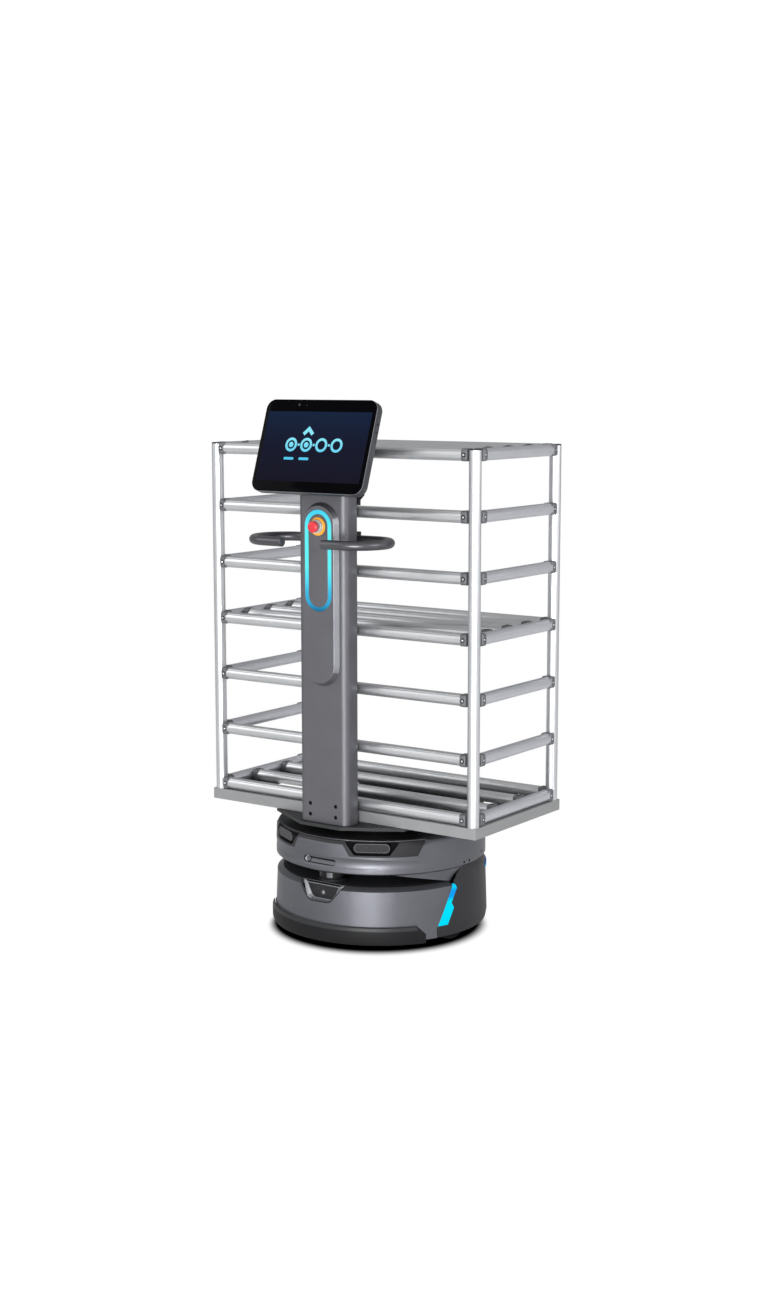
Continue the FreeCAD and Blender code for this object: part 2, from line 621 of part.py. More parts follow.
def pad(body, name, sketch, length, reverse=False):
    feature = body.newObject("PartDesign::Pad", name)
    feature.Profile = sketch
    feature.Reversed = reverse
    return bind(feature, Length=length)


def pocket(body, name, sketch, length, reverse=False):
    feature = body.newObject("PartDesign::Pocket", name)
    feature.Profile = sketch
    feature.Reversed = reverse
    return bind(feature, Length=length)


def roundEdges(body, name, feature, radius, wanted):
    # Round the edges of a feature that the given test picks
    doc.recompute()
    edges = feature.Shape.Edges
    chosen = ["Edge%d" % number for number, edge in enumerate(edges, start=1) if wanted(edge)]
    rounding = body.newObject("PartDesign::Fillet", name)
    rounding.Base = (feature, chosen)
    return bind(rounding, Radius=radius)


def runsAlong(edge, axis):
    # True for a straight edge parallel to the axis
    if len(edge.Vertexes) != 2 or edge.Curve.TypeId != "Part::GeomLine":
        return False
    return abs(edge.tangentAt(edge.FirstParameter).dot(axis)) > 0.999


def newBody(name):
    return doc.addObject("PartDesign::Body", name + "Body")


def keep(item, label):
    # This piece is written out under its label
    item.Label = label
    subParts.append(item)
    return item


def onChassis(item, label):
    item.setExpression("Placement.Base.y", tied("chassisY"))
    return keep(item, label)


upAxis = Vector(0, 0, 1)
far = "2 * bumperRadius"
edgeLine = (
    ("edgeFootY", "0"),
    ("edgeFootY", "edgeFootHeight"),
    ("edgeTopY", "edgeTopHeight"),
    ("curlStartY", "curlStartHeight"),
    ("curlY", "curlHeight"),
    ("curlEndY", "curlEndHeight"),
    ("0", "seamHeight"),
)


def trapezoid(footHalf, topHalf, foot, top):
    return (("-(%s)" % footHalf, foot), (footHalf, foot), (topHalf, top), ("-(%s)" % topHalf, top))


def shifted(line, along, up):
    return [("%s + (%s)" % (y, along), "%s + (%s)" % (z, up)) for y, z in line]


def makeShells():
    # The front shell is a drafted wall that turns in to become the floor of the gap.
    # A ledge inside both shells carries the base plate's edge.
    ledgeTop = "plateFoot - inlayGap"
    wall = turned("frontWall", (
        ("shellFootRadius", "shellFoot"),
        ("shellTopRadius", "shoulderHeight"),
        ("gapFloorRadius", "gapFloor"),
        ("gapFloorInner", "gapFloor"),
        ("gapFloorInner", "gapFloor - shellWall"),
        ("gapFloorRadius - shellWall / 2", "gapFloor - shellWall"),
        ("shellTopRadius - shellWall", "shoulderHeight - shellWall / 2"),
        ("shellFootRadius - shellWall - ledgeStep", ledgeTop),
        ("ledgeInner", ledgeTop),
        ("ledgeInner", ledgeTop + " - ledgeHeight"),
        ("shellFootRadius - shellWall - ledgeStep", ledgeTop + " - ledgeHeight"),
        ("shellFootRadius - shellWall", "shellFoot")))
    behind = prism("behindEdge", edgeLine[:3] + (
        ("edgeTopY + 2 * cutPast", "gapFloor + cutPast"), (far, "gapFloor + cutPast"), (far, "0")),
        sideTurn, far, far)
    hole = prism("cameraOpening", (
        ("-bezelFootHalf", "bezelFoot"), ("bezelFootHalf", "bezelFoot"),
        ("bezelTopHalf", "bezelTop"), ("-bezelTopHalf", "bezelTop")),
        frontTurn, "bumperRadius", "-bezelBack")
    passages = [rod("plungerPassage" + side, "plungerRadius + throughFit", "bumperRadius",
                    sign + "plungerX", 0, "plungerHeight", frontTurn)
                for side, sign in (("Left", "-"), ("Right", ""))]
    onChassis(cut("frontShell", wall, behind, hole, *passages), "front_shell")

    # The rear shell swells a little and ends at the seam under the upper ring
    wall = turned("rearWall", (
        ("rearFootRadius", "shellFoot"),
        ("rearBellyRadius", "rearBellyHeight"),
        ("rearShoulderRadius", "rearShoulderHeight"),
        ("rearTopRadius", "seamHeight"),
        ("rearFlangeInner", "seamHeight"),
        ("rearFlangeInner", "seamHeight - shellWall"),
        ("rearTopRadius - shellWall", "seamHeight - shellWall"),
        ("rearShoulderRadius - shellWall", "rearShoulderHeight"),
        ("rearBellyRadius - shellWall - ledgeStep", ledgeTop),
        ("ledgeInner", ledgeTop),
        ("ledgeInner", ledgeTop + " - ledgeHeight"),
        ("rearBellyRadius - shellWall", ledgeTop + " - ledgeHeight"),
        ("rearBellyRadius - shellWall", "rearBellyHeight"),
        ("rearFootRadius - shellWall", "shellFoot")))
    before = prism("beforeEdge", shifted(edgeLine, "seamGap", "0") + [
        ("seamGap", "ringTop"), ("-(%s)" % far, "ringTop"), ("-(%s)" % far, "0")],
        sideTurn, far, far)
    seats = [lightPrism("lightSeat", "inlayGap")]
    seats += [tailPrism("tailSeat" + side, sign + "tailAngle", "inlayGap")
              for side, sign in (("Left", "-"), ("Right", ""))]
    outer = turned("seatBand", (
        ("lightInner - 2 * inlayGap", "shellFoot"), (far, "shellFoot"),
        (far, "seamHeight"), ("lightInner - 2 * inlayGap", "seamHeight")))
    seat = common("lightSeats", outer, fuse("lightSeatShapes", *seats))
    contacts = slab("contactSeat", "2 * contactHalf + 2 * inlayGap", "3 * contactDepth",
                    "contactHeight + 2 * inlayGap", "contactFace - contactDepth - inlayGap",
                    "contactFoot - inlayGap")
    hole = rod("buttonHole", "buttonRadius + bodyPlay", "bumperRadius", 0, "bumperRadius",
               "buttonHeight", frontTurn)
    onChassis(cut("rearShell", wall, before, seat, contacts, hole), "rear_shell")


def lightPrism(name, play):
    # The slanted side light, seen from the side, wider in its lower half
    return prism(name, (
        ("edgeFootY + (lightFoot - edgeFootHeight) / 2 + seamGap - %s" % play,
         "lightFoot - %s" % play),
        ("lightHeelY + %s" % play, "lightFoot - %s" % play),
        ("lightKneeY + %s" % play, "lightKnee"),
        ("lightWaistY + %s" % play, "lightWaist"),
        ("lightTipY + %s" % play, "lightTip"),
        ("edgeTopY + seamGap - %s" % play, "edgeTopHeight + %s" % play)),
        sideTurn, far, far)


def tailPrism(name, angle, play):
    item = prism(name, (
        ("-tailHalf - %s" % play, "tailFoot - %s" % play),
        ("tailHalf + %s" % play, "tailFoot - %s" % play),
        ("tailHalf + %s" % play, "tailTop + %s" % play),
        ("-tailHalf - %s" % play, "tailTop + %s" % play)),
        frontTurn, far)
    return aroundAxis(item, angle)


def makeLights():
    band = turned("lightBand", (
        ("lightInner", "shellFoot"), ("lightOuter", "shellFoot"),
        ("lightOuter", "seamHeight"), ("lightInner", "seamHeight")))
    shapes = [lightPrism("sideLight", "0")]
    shapes += [tailPrism("tailLight" + side, sign + "tailAngle", "0")
               for side, sign in (("Left", "-"), ("Right", ""))]
    onChassis(common("statusLights", band, fuse("lightShapes", *shapes)), "status_lights")


def visorShape(name, play):
    # Two slanted windows joined by a narrow strip
    shapes = []
    for side, sign in (("Left", "-"), ("Right", "")):
        window = prism(name + side, (
            ("-visorFootHalf - %s" % play, "visorFoot - %s" % play),
            ("visorFootHalf + %s" % play, "visorFoot - %s" % play),
            ("visorTopHalf + %s" % play, "ringTop"),
            ("-visorTopHalf - %s" % play, "ringTop")),
            frontTurn, far)
        shapes.append(aroundAxis(window, sign + "visorAngle"))
    shapes.append(prism(name + "Strip", (
        ("-visorStripHalf", "visorStripFoot - %s" % play),
        ("visorStripHalf", "visorStripFoot - %s" % play),
        ("visorStripHalf", "ringTop"), ("-visorStripHalf", "ringTop")),
        frontTurn, far))
    return fuse(name, *shapes)


def cameraShape(name, side, sign, play, face):
    item = lying(name + side, "cameraEnd + %s" % play, "cameraHalf", "cameraDepth",
                 0, 0, "cameraHeight")
    place(item, 0, "-(%s) + cameraDepth" % face, "cameraHeight")
    return aroundAxis(group(name + side + "Out", [item]), sign + "cameraAngle")


def pitShape(name, side, sign, wall, top, floor):
    # The recess round a depth camera, wider at its top, from its floor outward
    slant = "(pitTopHalf - pitFootHalf) / (ringTop - pitDrop - pitFoot)"
    wide = "pitTopHalf + %s + (%s - ringTop + pitDrop) * %s" % (wall, top, slant)
    item = prism(name + side, trapezoid("pitFootHalf + " + wall, wide, "pitFoot - (%s)" % wall, top),
                 frontTurn, far, "-(%s)" % floor)
    return aroundAxis(item, sign + "cameraAngle")


def makeRing():
    # The upper ring has a skirt that comes down at the sides and closes the gap
    ring = turned("ringWall", (
        ("ringRadius - skirtInset - skirtDraft", "gapFloor"),
        ("ringRadius - skirtInset", "gapCeiling - skirtBevelLow"),
        ("ringRadius", "gapCeiling + skirtBevelHigh"),
        ("ringRadius", "ringShoulder"),
        ("ringRadius - ringShoulderStep", "ringTop - ringShoulderDrop"),
        ("ringTopRadius", "ringTop"),
        ("ringMouth", "ringTop"),
        ("ringMouth", "ringTop - ringPlate"),
        ("ringTopRadius - ringPlate", "ringTop - ringPlate"),
        ("ringInner", "ringShoulder + ringPlate / 2"),
        ("ringInner", "gapCeiling + ceilingPlate"),
        ("ceilingInner", "gapCeiling + ceilingPlate"),
        ("ceilingInner", "gapCeiling"),
        ("ringInner", "gapCeiling"),
        ("ringInner", "gapFloor")))
    below = prism("belowSkirt", [
        ("-(%s)" % far, "0"), ("-(%s)" % far, "gapCeiling"),
        ("skirtStartY", "gapCeiling"), ("skirtEndY", "skirtEndHeight"),
        ("edgeTopY + edgeLap", "skirtEndHeight"),
        ("curlStartY - edgeLap", "curlStartHeight + edgeLap"),
        ("curlY - edgeLap", "curlHeight + edgeLap"),
        ("curlEndY - edgeLap", "curlEndHeight + edgeLap"), ("0", "seamHeight + edgeLap"),
        (far, "seamHeight + edgeLap"), (far, "0")], sideTurn, far, far)
    scoop = part("Torus", "scoop", Radius1="ringRadius - grooveDepth + grooveShift + grooveBend",
                 Radius2="grooveBend")
    place(scoop, 0, "grooveShift", "grooveHeight")
    seatBand = turned("visorSeatBand", (
        ("visorInner - inlayGap", "visorFoot - inlayGap"), (far, "visorFoot - inlayGap"),
        (far, "ringTop"), ("ringTopRadius + visorRimStep - inlayGap", "ringTop"),
        ("ringTopRadius + visorRimStep - inlayGap", "ringTop - visorRimFoot - 2 * inlayGap"),
        ("visorInner - inlayGap", "ringShoulder - visorWedge - inlayGap")))
    seat = common("visorSeat", seatBand, visorShape("visorSeatShape", "inlayGap"))
    window = lying("rangeOpening", "rangeEnd + inlayGap", "rangeHalf", "bumperRadius",
                   0, 0, "rangeHeight")
    pits = [pitShape("pitOpening", side, sign, "pitPlate + inlayGap", "ringTop - ringPlate",
                     "pitFloor - pitPlate - inlayGap")
            for side, sign in (("Left", "-"), ("Right", ""))]
    cameras = [cameraShape("cameraOpening", side, sign, "inlayGap", "cameraFace")
               for side, sign in (("Left", "-"), ("Right", ""))]
    onChassis(cut("upperRing", ring, below, scoop, seat, window, *pits, *cameras), "upper_ring")

    # The dark visor is let into the ring, with a recess round each depth camera
    visorTop = (("visorOuter", "ringShoulder - inlayGap"),
                ("ringTopRadius + visorEdgeStep", "ringTop - visorEdgeDrop"),
                ("ringTopRadius + visorRimStep", "ringTop - visorRimDrop"))
    band = turned("visorBand", (
        ("visorInner", "visorFoot"), ("visorOuter", "visorFoot"),
        *visorTop,
        ("ringTopRadius + visorRimStep", "ringTop - visorRimFoot"),
        ("visorInner", "ringShoulder - visorWedge")))
    solid = common("visorSolid", band, visorShape("visorWindows", "0"))
    hull = turned("visorHull", (
        ("0", "visorFoot"), ("visorOuter", "visorFoot"), *visorTop,
        ("0", "ringTop - visorRimDrop")))
    boxes = [common("pitBox" + side, hull, pitShape("pitOutside", side, sign, "pitPlate",
                                                    "ringTop", "pitFloor - pitPlate"))
             for side, sign in (("Left", "-"), ("Right", ""))]
    tools = [cameraShape("visorOpening", side, sign, "inlayGap", "chassisRadius")
             for side, sign in (("Left", "-"), ("Right", ""))]
    tools += [pitShape("pitInside", side, sign, "0", "ringTop - pitDrop", "pitFloor")
              for side, sign in (("Left", "-"), ("Right", ""))]
    onChassis(cut("visor", fuse("visorShape", solid, *boxes), *tools), "visor")

    cameras = [cameraShape("camera", side, sign, "0", "cameraFace")
               for side, sign in (("Left", "-"), ("Right", ""))]
    onChassis(group("depthCameras", cameras), "depth_cameras")

    window = lying("rangeWindow", "rangeEnd", "rangeHalf", "rangeDepth",
                   0, "chassisY - rangeFace + rangeDepth", "rangeHeight")
    keep(window, "range_window")


def makeFrontCamera():
    # A recessed bezel with drafted walls round a flat dark window
    outer = prism("bezelOuter", trapezoid(
        "bezelFootHalf - inlayGap", "bezelTopHalf - inlayGap", "bezelFoot + inlayGap",
        "bezelTop"), frontTurn, "shellFootRadius", "-bezelBack")
    hull = turned("bezelHull", (
        ("0", "shellFoot"), ("shellFootRadius", "shellFoot"),
        ("shellTopRadius", "shoulderHeight"), ("gapFloorRadius", "gapFloor"), ("0", "gapFloor")))
    funnel = prism("bezelFunnel", trapezoid(
        "frameFootHalf", "frameTopHalf", "frameFoot", "bezelTop + bezelBackInset"), frontTurn,
        "2 * bezelFaceInset", 0, "bezelDraft")
    place(funnel, 0, "-bezelFace")
    seat = prism("windowSeat", trapezoid(
        "panelFootHalf + inlayGap", "panelTopHalf + inlayGap", "panelFoot - inlayGap",
        "panelTop + inlayGap"), frontTurn, "bezelFace + cutPast", "-bezelFace + panelDepth")
    onChassis(cut("cameraBezel", common("bezelSolid", outer, hull), funnel, seat),
              "camera_bezel")
    window = prism("cameraWindow", trapezoid(
        "panelFootHalf", "panelTopHalf", "panelFoot", "panelTop"),
        frontTurn, "bezelFace", "-bezelFace + panelDepth")
    onChassis(window, "camera_window")


def makeBumper():
    ring = turned("bumperRing", (
        ("bumperRadius - bumperFootInset", "bumperFoot"),
        ("bumperRadius", "bumperFoot + bumperFootRise"),
        ("bumperRadius", "bumperTop - bumperBevel"),
        ("bumperRadius - bumperSlant", "bumperTop - bumperRound"),
        ("bumperInner", "bumperTop"),
        ("bumperInner", "bumperFoot")))
    shape = prism("bumperShape", (
        ("-bumperHalf", "0"), ("bumperHalf", "0"), ("bumperHalf", "bumperStep"),
        ("bumperTopHalf", "bumperTop + cutPast"), ("-bumperTopHalf", "bumperTop + cutPast"),
        ("-bumperHalf", "bumperStep")), frontTurn, far)
    onChassis(common("bumper", ring, shape), "front_bumper")

    # Two plungers carry the bumper, each with a collar and a return spring
    plungers = []
    springs = []
    hull = rod("bumperHull", "bumperInner - shroudPlay", "bumperTop")
    for side, sign in (("Left", "-"), ("Right", "")):
        stem = rod("plungerStem" + side, "plungerRadius", "bumperRadius - plungerTail",
                   sign + "plungerX", "-plungerTail", "plungerHeight", frontTurn)
        collar = rod("plungerCollar" + side, "plungerCollar", "collarWidth",
                     sign + "plungerX", "-collarFace", "plungerHeight", frontTurn)
        plungers.append(common("plunger" + side, fuse("plungerSolid" + side, stem, collar), hull))
        wall = "plungerCollar - plungerRadius - springPlay"
        springs.append(tube("spring" + side, "plungerCollar", wall, "collarFace - guideFront",
                            sign + "plungerX", "-guideFront", "plungerHeight", frontTurn))
    onChassis(group("bumperPlungers", plungers), "bumper_plungers")
    onChassis(group("bumperSprings", springs), "bumper_springs")


def makeFloor():
    # The base plate carries the running gear, with the bumper guides below it
    disc = rod("plateDisc", "plateRadius", "plateThickness", 0, 0, "plateFoot")
    tools = []
    guides = []
    for side, sign in (("Left", "-"), ("Right", "")):
        tools.append(slab("wheelSlot" + side, "wheelWidth + 2 * slotPlay",
                          "2 * wheelRadius + 2 * slotPlay", "plateThickness",
                          "-wheelRadius - slotPlay", "plateFoot", sign + "wheelX"))
        guides.append(slab("guide" + side, "guideWidth", "guideFront - guideBack",
                           "plateFoot - plungerHeight + guideWidth / 2", "-guideFront",
                           "plungerHeight - guideWidth / 2", sign + "plungerX"))
        tools.append(rod("guideBore" + side, "plungerRadius + slideFit", "guideFront - guideBack",
                         sign + "plungerX", "-guideBack", "plungerHeight", frontTurn))
        for row, ahead in (("Front", "-"), ("Rear", "")):
            tools.append(rod("stemHole" + side + row, "swivelCap + throughFit", "plateThickness",
                             sign + "casterX", ahead + "casterY", "plateFoot"))
    onChassis(cut("basePlate", fuse("plateSolid", disc, *guides), *tools), "base_plate")

    columns = [rod("column%d" % step, "columnRadius", "coverFoot - plateFoot - plateThickness",
                   x + "columnX", y + "columnY", "plateFoot + plateThickness")
               for step, (x, y) in enumerate((("-", "-"), ("", "-"), ("", ""), ("-", "")))]
    onChassis(group("supportColumns", columns), "support_columns")

    cover = turned("topCover", (
        ("0", "coverFoot"), ("coverRim", "coverFoot"), ("coverRim", "ringTop - ringPlate"),
        ("ringMouth - inlayGap", "ringTop - ringPlate"), ("ringMouth - inlayGap", "ringTop"),
        ("spacerOuter", "ringTop"), ("spacerOuter", "deckTop - deckThickness"),
        ("spacerInner", "deckTop - deckThickness"), ("spacerInner", "ringTop"), ("0", "ringTop")))
    onChassis(cover, "top_cover")

    wall = tube("gapShroud", "shroudOuter", "shroudOuter - shroudInner",
                "gapCeiling - gapFloor - 2 * shroudPlay", 0, 0, "gapFloor + shroudPlay")
    onChassis(wall, "gap_shroud")

    # The deck plate is an octagon inside the ring's outline, with four payload holes
    body = newBody("deck")
    angles = ("deckNose", "deckCheek", "180 - deckCheek", "180 - deckNose")
    right = [("deckRadius * sin(%s)" % turn, "-deckRadius * cos(%s)" % turn) for turn in angles]
    left = [("-(%s)" % x, y) for x, y in reversed(right)]
    sketch = bodySketch(body, "deckSketch", "XY_Plane", right + left, "deckTop - deckThickness")
    pad(body, "deckPad", sketch, "deckThickness")
    centres = [("deckHoleX", "rackY - chassisY - deckHoleY"),
               ("deckHoleX", "rackY - chassisY + deckHoleY"),
               ("-deckHoleX", "rackY - chassisY + deckHoleY"),
               ("-deckHoleX", "rackY - chassisY - deckHoleY")]
    holes = circles(body, "deckHoles", "XY_Plane", "deckHoleRadius", centres, "deckTop")
    pocket(body, "deckPocket", holes, "deckThickness")
    onChassis(body, "deck_plate")


def makeInside():
    base = "plateFoot + plateThickness"
    battery = slab("battery", "batteryX", "batteryY", "batteryHeight", "batteryStart", base)
    keep(place(battery, "-batteryX / 2", "chassisY + batteryStart", base), "battery_pack")
    controller = slab("controller", "controllerX", "controllerY", "controllerHeight")
    keep(place(controller, "-controllerX / 2", "chassisY + controllerStart", base),
         "main_controller")

    # The laser scanner stands on the gap floor, its head turns on a short shaft
    base = rod("lidarBase", "lidarRadius + lidarLip", "lidarBase")
    bore = rod("lidarBore", "lidarShaft + slideFit", "lidarBase")
    spot = (0, "chassisY - lidarReach", "gapFloor")
    keep(place(cut("lidarSocket", base, bore), *spot), "lidar_base")
    head = turned("lidarHead", (
        ("0", "lidarBase - lidarShaftLength"), ("lidarShaft", "lidarBase - lidarShaftLength"),
        ("lidarShaft", "lidarBase + lidarPlay"), ("lidarRadius", "lidarBase + lidarPlay"),
        ("lidarRadius", "lidarBase + lidarPlay + lidarHead - lidarBevel"),
        ("lidarRadius - lidarBevel", "lidarBase + lidarPlay + lidarHead"),
        ("0", "lidarBase + lidarPlay + lidarHead")))
    keep(place(head, *spot), "lidar_head")


def makeDrive():
    top = "plateFoot + plateThickness"
    inner = "(wheelX - wheelWidth / 2 - bracketPlay)"
    brackets = []
    axles = []
    for side, sign in (("Left", -1), ("Right", 1)):
        turn = Rotation(Vector(0, 1, 0), 90 * sign)
        label = side.lower()
        # Hub with a raised boss on its outer face, and a tyre with rounded shoulders
        hub = turned("hub" + side, (
            ("axleRadius + slideFit", "-wheelWidth / 2"),
            ("wheelRadius - tyreWall", "-wheelWidth / 2"),
            ("wheelRadius - tyreWall", "wheelWidth / 2"),
            ("hubFace + hubBoss", "wheelWidth / 2"), ("hubFace", "wheelWidth / 2 + hubBoss"),
            ("axleHead + hubBoss", "wheelWidth / 2 + hubBoss"),
            ("axleHead + hubBoss", "wheelWidth / 2 - hubSeat"),
            ("axleRadius + slideFit", "wheelWidth / 2 - hubSeat")))
        tyre = turned("tyre" + side, (
            ("wheelRadius - tyreWall", "-wheelWidth / 2"),
            ("wheelRadius - tyreBevel", "-wheelWidth / 2"),
            ("wheelRadius", "-wheelWidth / 2 + tyreBevel"),
            ("wheelRadius", "wheelWidth / 2 - tyreBevel"),
            ("wheelRadius - tyreBevel", "wheelWidth / 2"),
            ("wheelRadius - tyreWall", "wheelWidth / 2")))
        spot = ("%d * wheelX" % sign, "chassisY", "wheelRadius", turn)
        keep(place(hub, *spot), "hub_motor_" + label)
        keep(place(tyre, *spot), "drive_tyre_" + label)
        # The axle is clamped in an angle bracket with two feet
        sheetSide = prism("bracket" + side, (
            (inner, top), (inner, top + " + bracketRise"),
            (inner + " - bracketPlate", top + " + bracketRise"),
            (inner + " - bracketPlate", top + " + bracketFoot + bracketBrace"),
            (inner + " - bracketPlate - bracketBrace", top + " + bracketFoot"),
            (inner + " - bracketReach", top + " + bracketFoot"),
            (inner + " - bracketReach", top)), frontTurn, "bracketHalf", "bracketHalf")
        notch = block("notch" + side, "bracketReach - bracketPlate", "2 * bracketNotch",
                      "bracketFoot + bracketBrace", inner + " - bracketReach", "-bracketNotch", top)
        bore = rod("axleBore" + side, "axleRadius + axleFit", "wheelX", 0, 0, "wheelRadius",
                   sidewaysTurn)
        bracket = cut("wheelBracket" + side, sheetSide, notch, bore)
        if sign < 0:
            mirrored = doc.addObject("Part::Mirroring", "bracketMirror")
            mirrored.Source = bracket
            mirrored.Normal = Vector(1, 0, 0)
            bracket = mirrored
        brackets.append(bracket)
        start = inner + " - bracketPlate - nutWidth - threadEnd"
        reach = "wheelX + wheelWidth / 2 - hubSeat + bodyPlay - (%s)" % start
        shaft = rod("axleShaft" + side, "axleRadius", reach)
        cap = rod("axleCap" + side, "axleHead", "hubBoss", 0, 0, reach)
        nut = part("Prism", "axleNut" + side, Circumradius="nutRadius", Height="nutWidth")
        nut.Polygon = 6
        place(nut, 0, 0, "threadEnd", flatDown)
        axle = fuse("axle" + side, shaft, cap, nut)
        axles.append(place(axle, "%d * (%s)" % (sign, start), 0, "wheelRadius", turn))
    onChassis(group("wheelBrackets", brackets), "wheel_brackets")
    onChassis(group("wheelAxles", axles), "wheel_axles")


def makeCasters():
    gap = "(casterWidth / 2 + forkPlay)"
    headFoot = "plateFoot - mountHeight - bodyPlay - forkHead"
    mounts = []
    corners = (("front_left", "-", "-"), ("front_right", "", "-"),
               ("rear_right", "", ""), ("rear_left", "-", ""))
    for label, x, y in corners:
        word = label.replace("_", "")
        disc = rod("mountDisc" + word, "mountRadius", "mountHeight")
        bore = rod("mountBore" + word, "swivelRadius + slideFit", "mountHeight")
        mounts.append(place(cut("mount" + word, disc, bore), x + "casterX", y + "casterY",
                            "plateFoot - mountHeight"))
        # Fork seen from the side, cut through the middle for the wheel
        leg = prism("leg" + word, (
            ("-forkNose", headFoot + " + forkHead"),
            ("-forkNose", headFoot),
            ("casterTrail - forkWidth / 2", "casterRadius - forkWidth / 2 + forkBevel"),
            ("casterTrail - forkWidth / 2 + forkBevel", "casterRadius - forkWidth / 2"),
            ("casterTrail + forkWidth / 2 - forkBevel", "casterRadius - forkWidth / 2"),
            ("casterTrail + forkWidth / 2", "casterRadius - forkWidth / 2 + forkBevel"),
            ("casterTrail + forkHeel", headFoot),
            ("casterTrail", headFoot + " + forkHead")),
            sideTurn, gap + " + forkPlate", gap + " + forkPlate")
        room = slab("room" + word, "2 * " + gap, "4 * casterRadius", headFoot, "-2 * casterRadius")
        bore = rod("axleHole" + word, "casterBore", "2 * mountRadius", "-mountRadius",
                   "casterTrail", "casterRadius", sidewaysTurn)
        stem = rod("stem" + word, "swivelRadius", "mountHeight + 2 * bodyPlay + forkHead",
                   0, 0, headFoot)
        cap = rod("stemCap" + word, "swivelCap", "swivelCapHeight", 0, 0, "plateFoot + bodyPlay")
        fork = fuse("fork" + word, cut("forkLegs" + word, leg, room, bore), stem, cap)
        axle = rod("casterAxle" + word, "casterBore", "2 * %s + 2 * forkPlate" % gap,
                   "-%s - forkPlate" % gap, "casterTrail", "casterRadius", sidewaysTurn)
        keep(place(group("casterFork" + word, (fork, axle)), x + "casterX",
                   "chassisY + " + y + "casterY"), "caster_fork_" + label)
        wheel = turned("casterWheel" + word, (
            ("casterBore + slideFit", "-casterWidth / 2"),
            ("casterHub", "-casterWidth / 2"),
            ("casterHub + casterDish", "-casterWidth / 2 + casterDish"),
            ("casterTread", "-casterWidth / 2 + casterDish"),
            ("casterRadius - casterShoulder", "-casterWidth / 2 + casterDish / 2"),
            ("casterRadius", "-casterWidth / 2 + casterDish / 2 + casterShoulder"),
            ("casterRadius", "casterWidth / 2 - casterDish / 2 - casterShoulder"),
            ("casterRadius - casterShoulder", "casterWidth / 2 - casterDish / 2"),
            ("casterTread", "casterWidth / 2 - casterDish"),
            ("casterHub + casterDish", "casterWidth / 2 - casterDish"),
            ("casterHub", "casterWidth / 2"),
            ("casterBore + slideFit", "casterWidth / 2")))
        keep(place(wheel, x + "casterX", "chassisY + " + y + "casterY + casterTrail",
                   "casterRadius", sidewaysTurn), "caster_wheel_" + label)
    onChassis(group("casterMounts", mounts), "caster_mounts")


def makeRearFittings():
    contacts = [block("contact" + side, "contactHalf - contactInner", "contactDepth",
                      "contactHeight", x, "contactFace - contactDepth", "contactFoot")
                for side, x in (("Left", "-contactHalf"), ("Right", "contactInner"))]
    onChassis(group("chargeContacts", contacts), "charge_contacts")
    button = rod("powerButton", "buttonRadius", "buttonDepth", 0, "buttonFace", "buttonHeight",
                 frontTurn)
    button.setExpression("Placement.Base.y", tied("chassisY + buttonFace"))
    keep(button, "power_button")


def makeTray():
    # A folded sheet with its edges turned down and one large cut-out
    outer = slab("trayOuter", "trayX", "trayY", "trayHeight", "-trayY / 2")
    inner = slab("trayInner", "trayX - 2 * trayWall", "trayY - 2 * trayWall",
                 "trayHeight - trayWall", "-trayY / 2 + trayWall")
    window = slab("trayWindow", "trayX - 2 * trayRimX", "trayY - 2 * trayRimY", "2 * trayHeight",
                  "-trayY / 2 + trayRimY")
    keep(place(cut("tray", outer, inner, window), 0, "rackY", "deckTop"), "tray")


def pipe(name, length, x, y, z, turn):
    return tube(name, "pipeRadius", "pipeWall", length, x, y, z, turn)


def jointBlock(name, x, y, z, turn):
    # A pipe joint: a bevelled collar that grips the end of a rail
    corners = []
    for u, v in ((1, 1), (-1, 1), (-1, -1), (1, -1)):
        near = ("%d * jointHalf" % u, "%d * (jointHalf - jointBevel)" % v)
        across = ("%d * (jointHalf - jointBevel)" % u, "%d * jointHalf" % v)
        corners += [near, across] if u * v > 0 else [across, near]
    return place(prism(name, corners, upTurn, "jointLength"), x, y, z, turn)


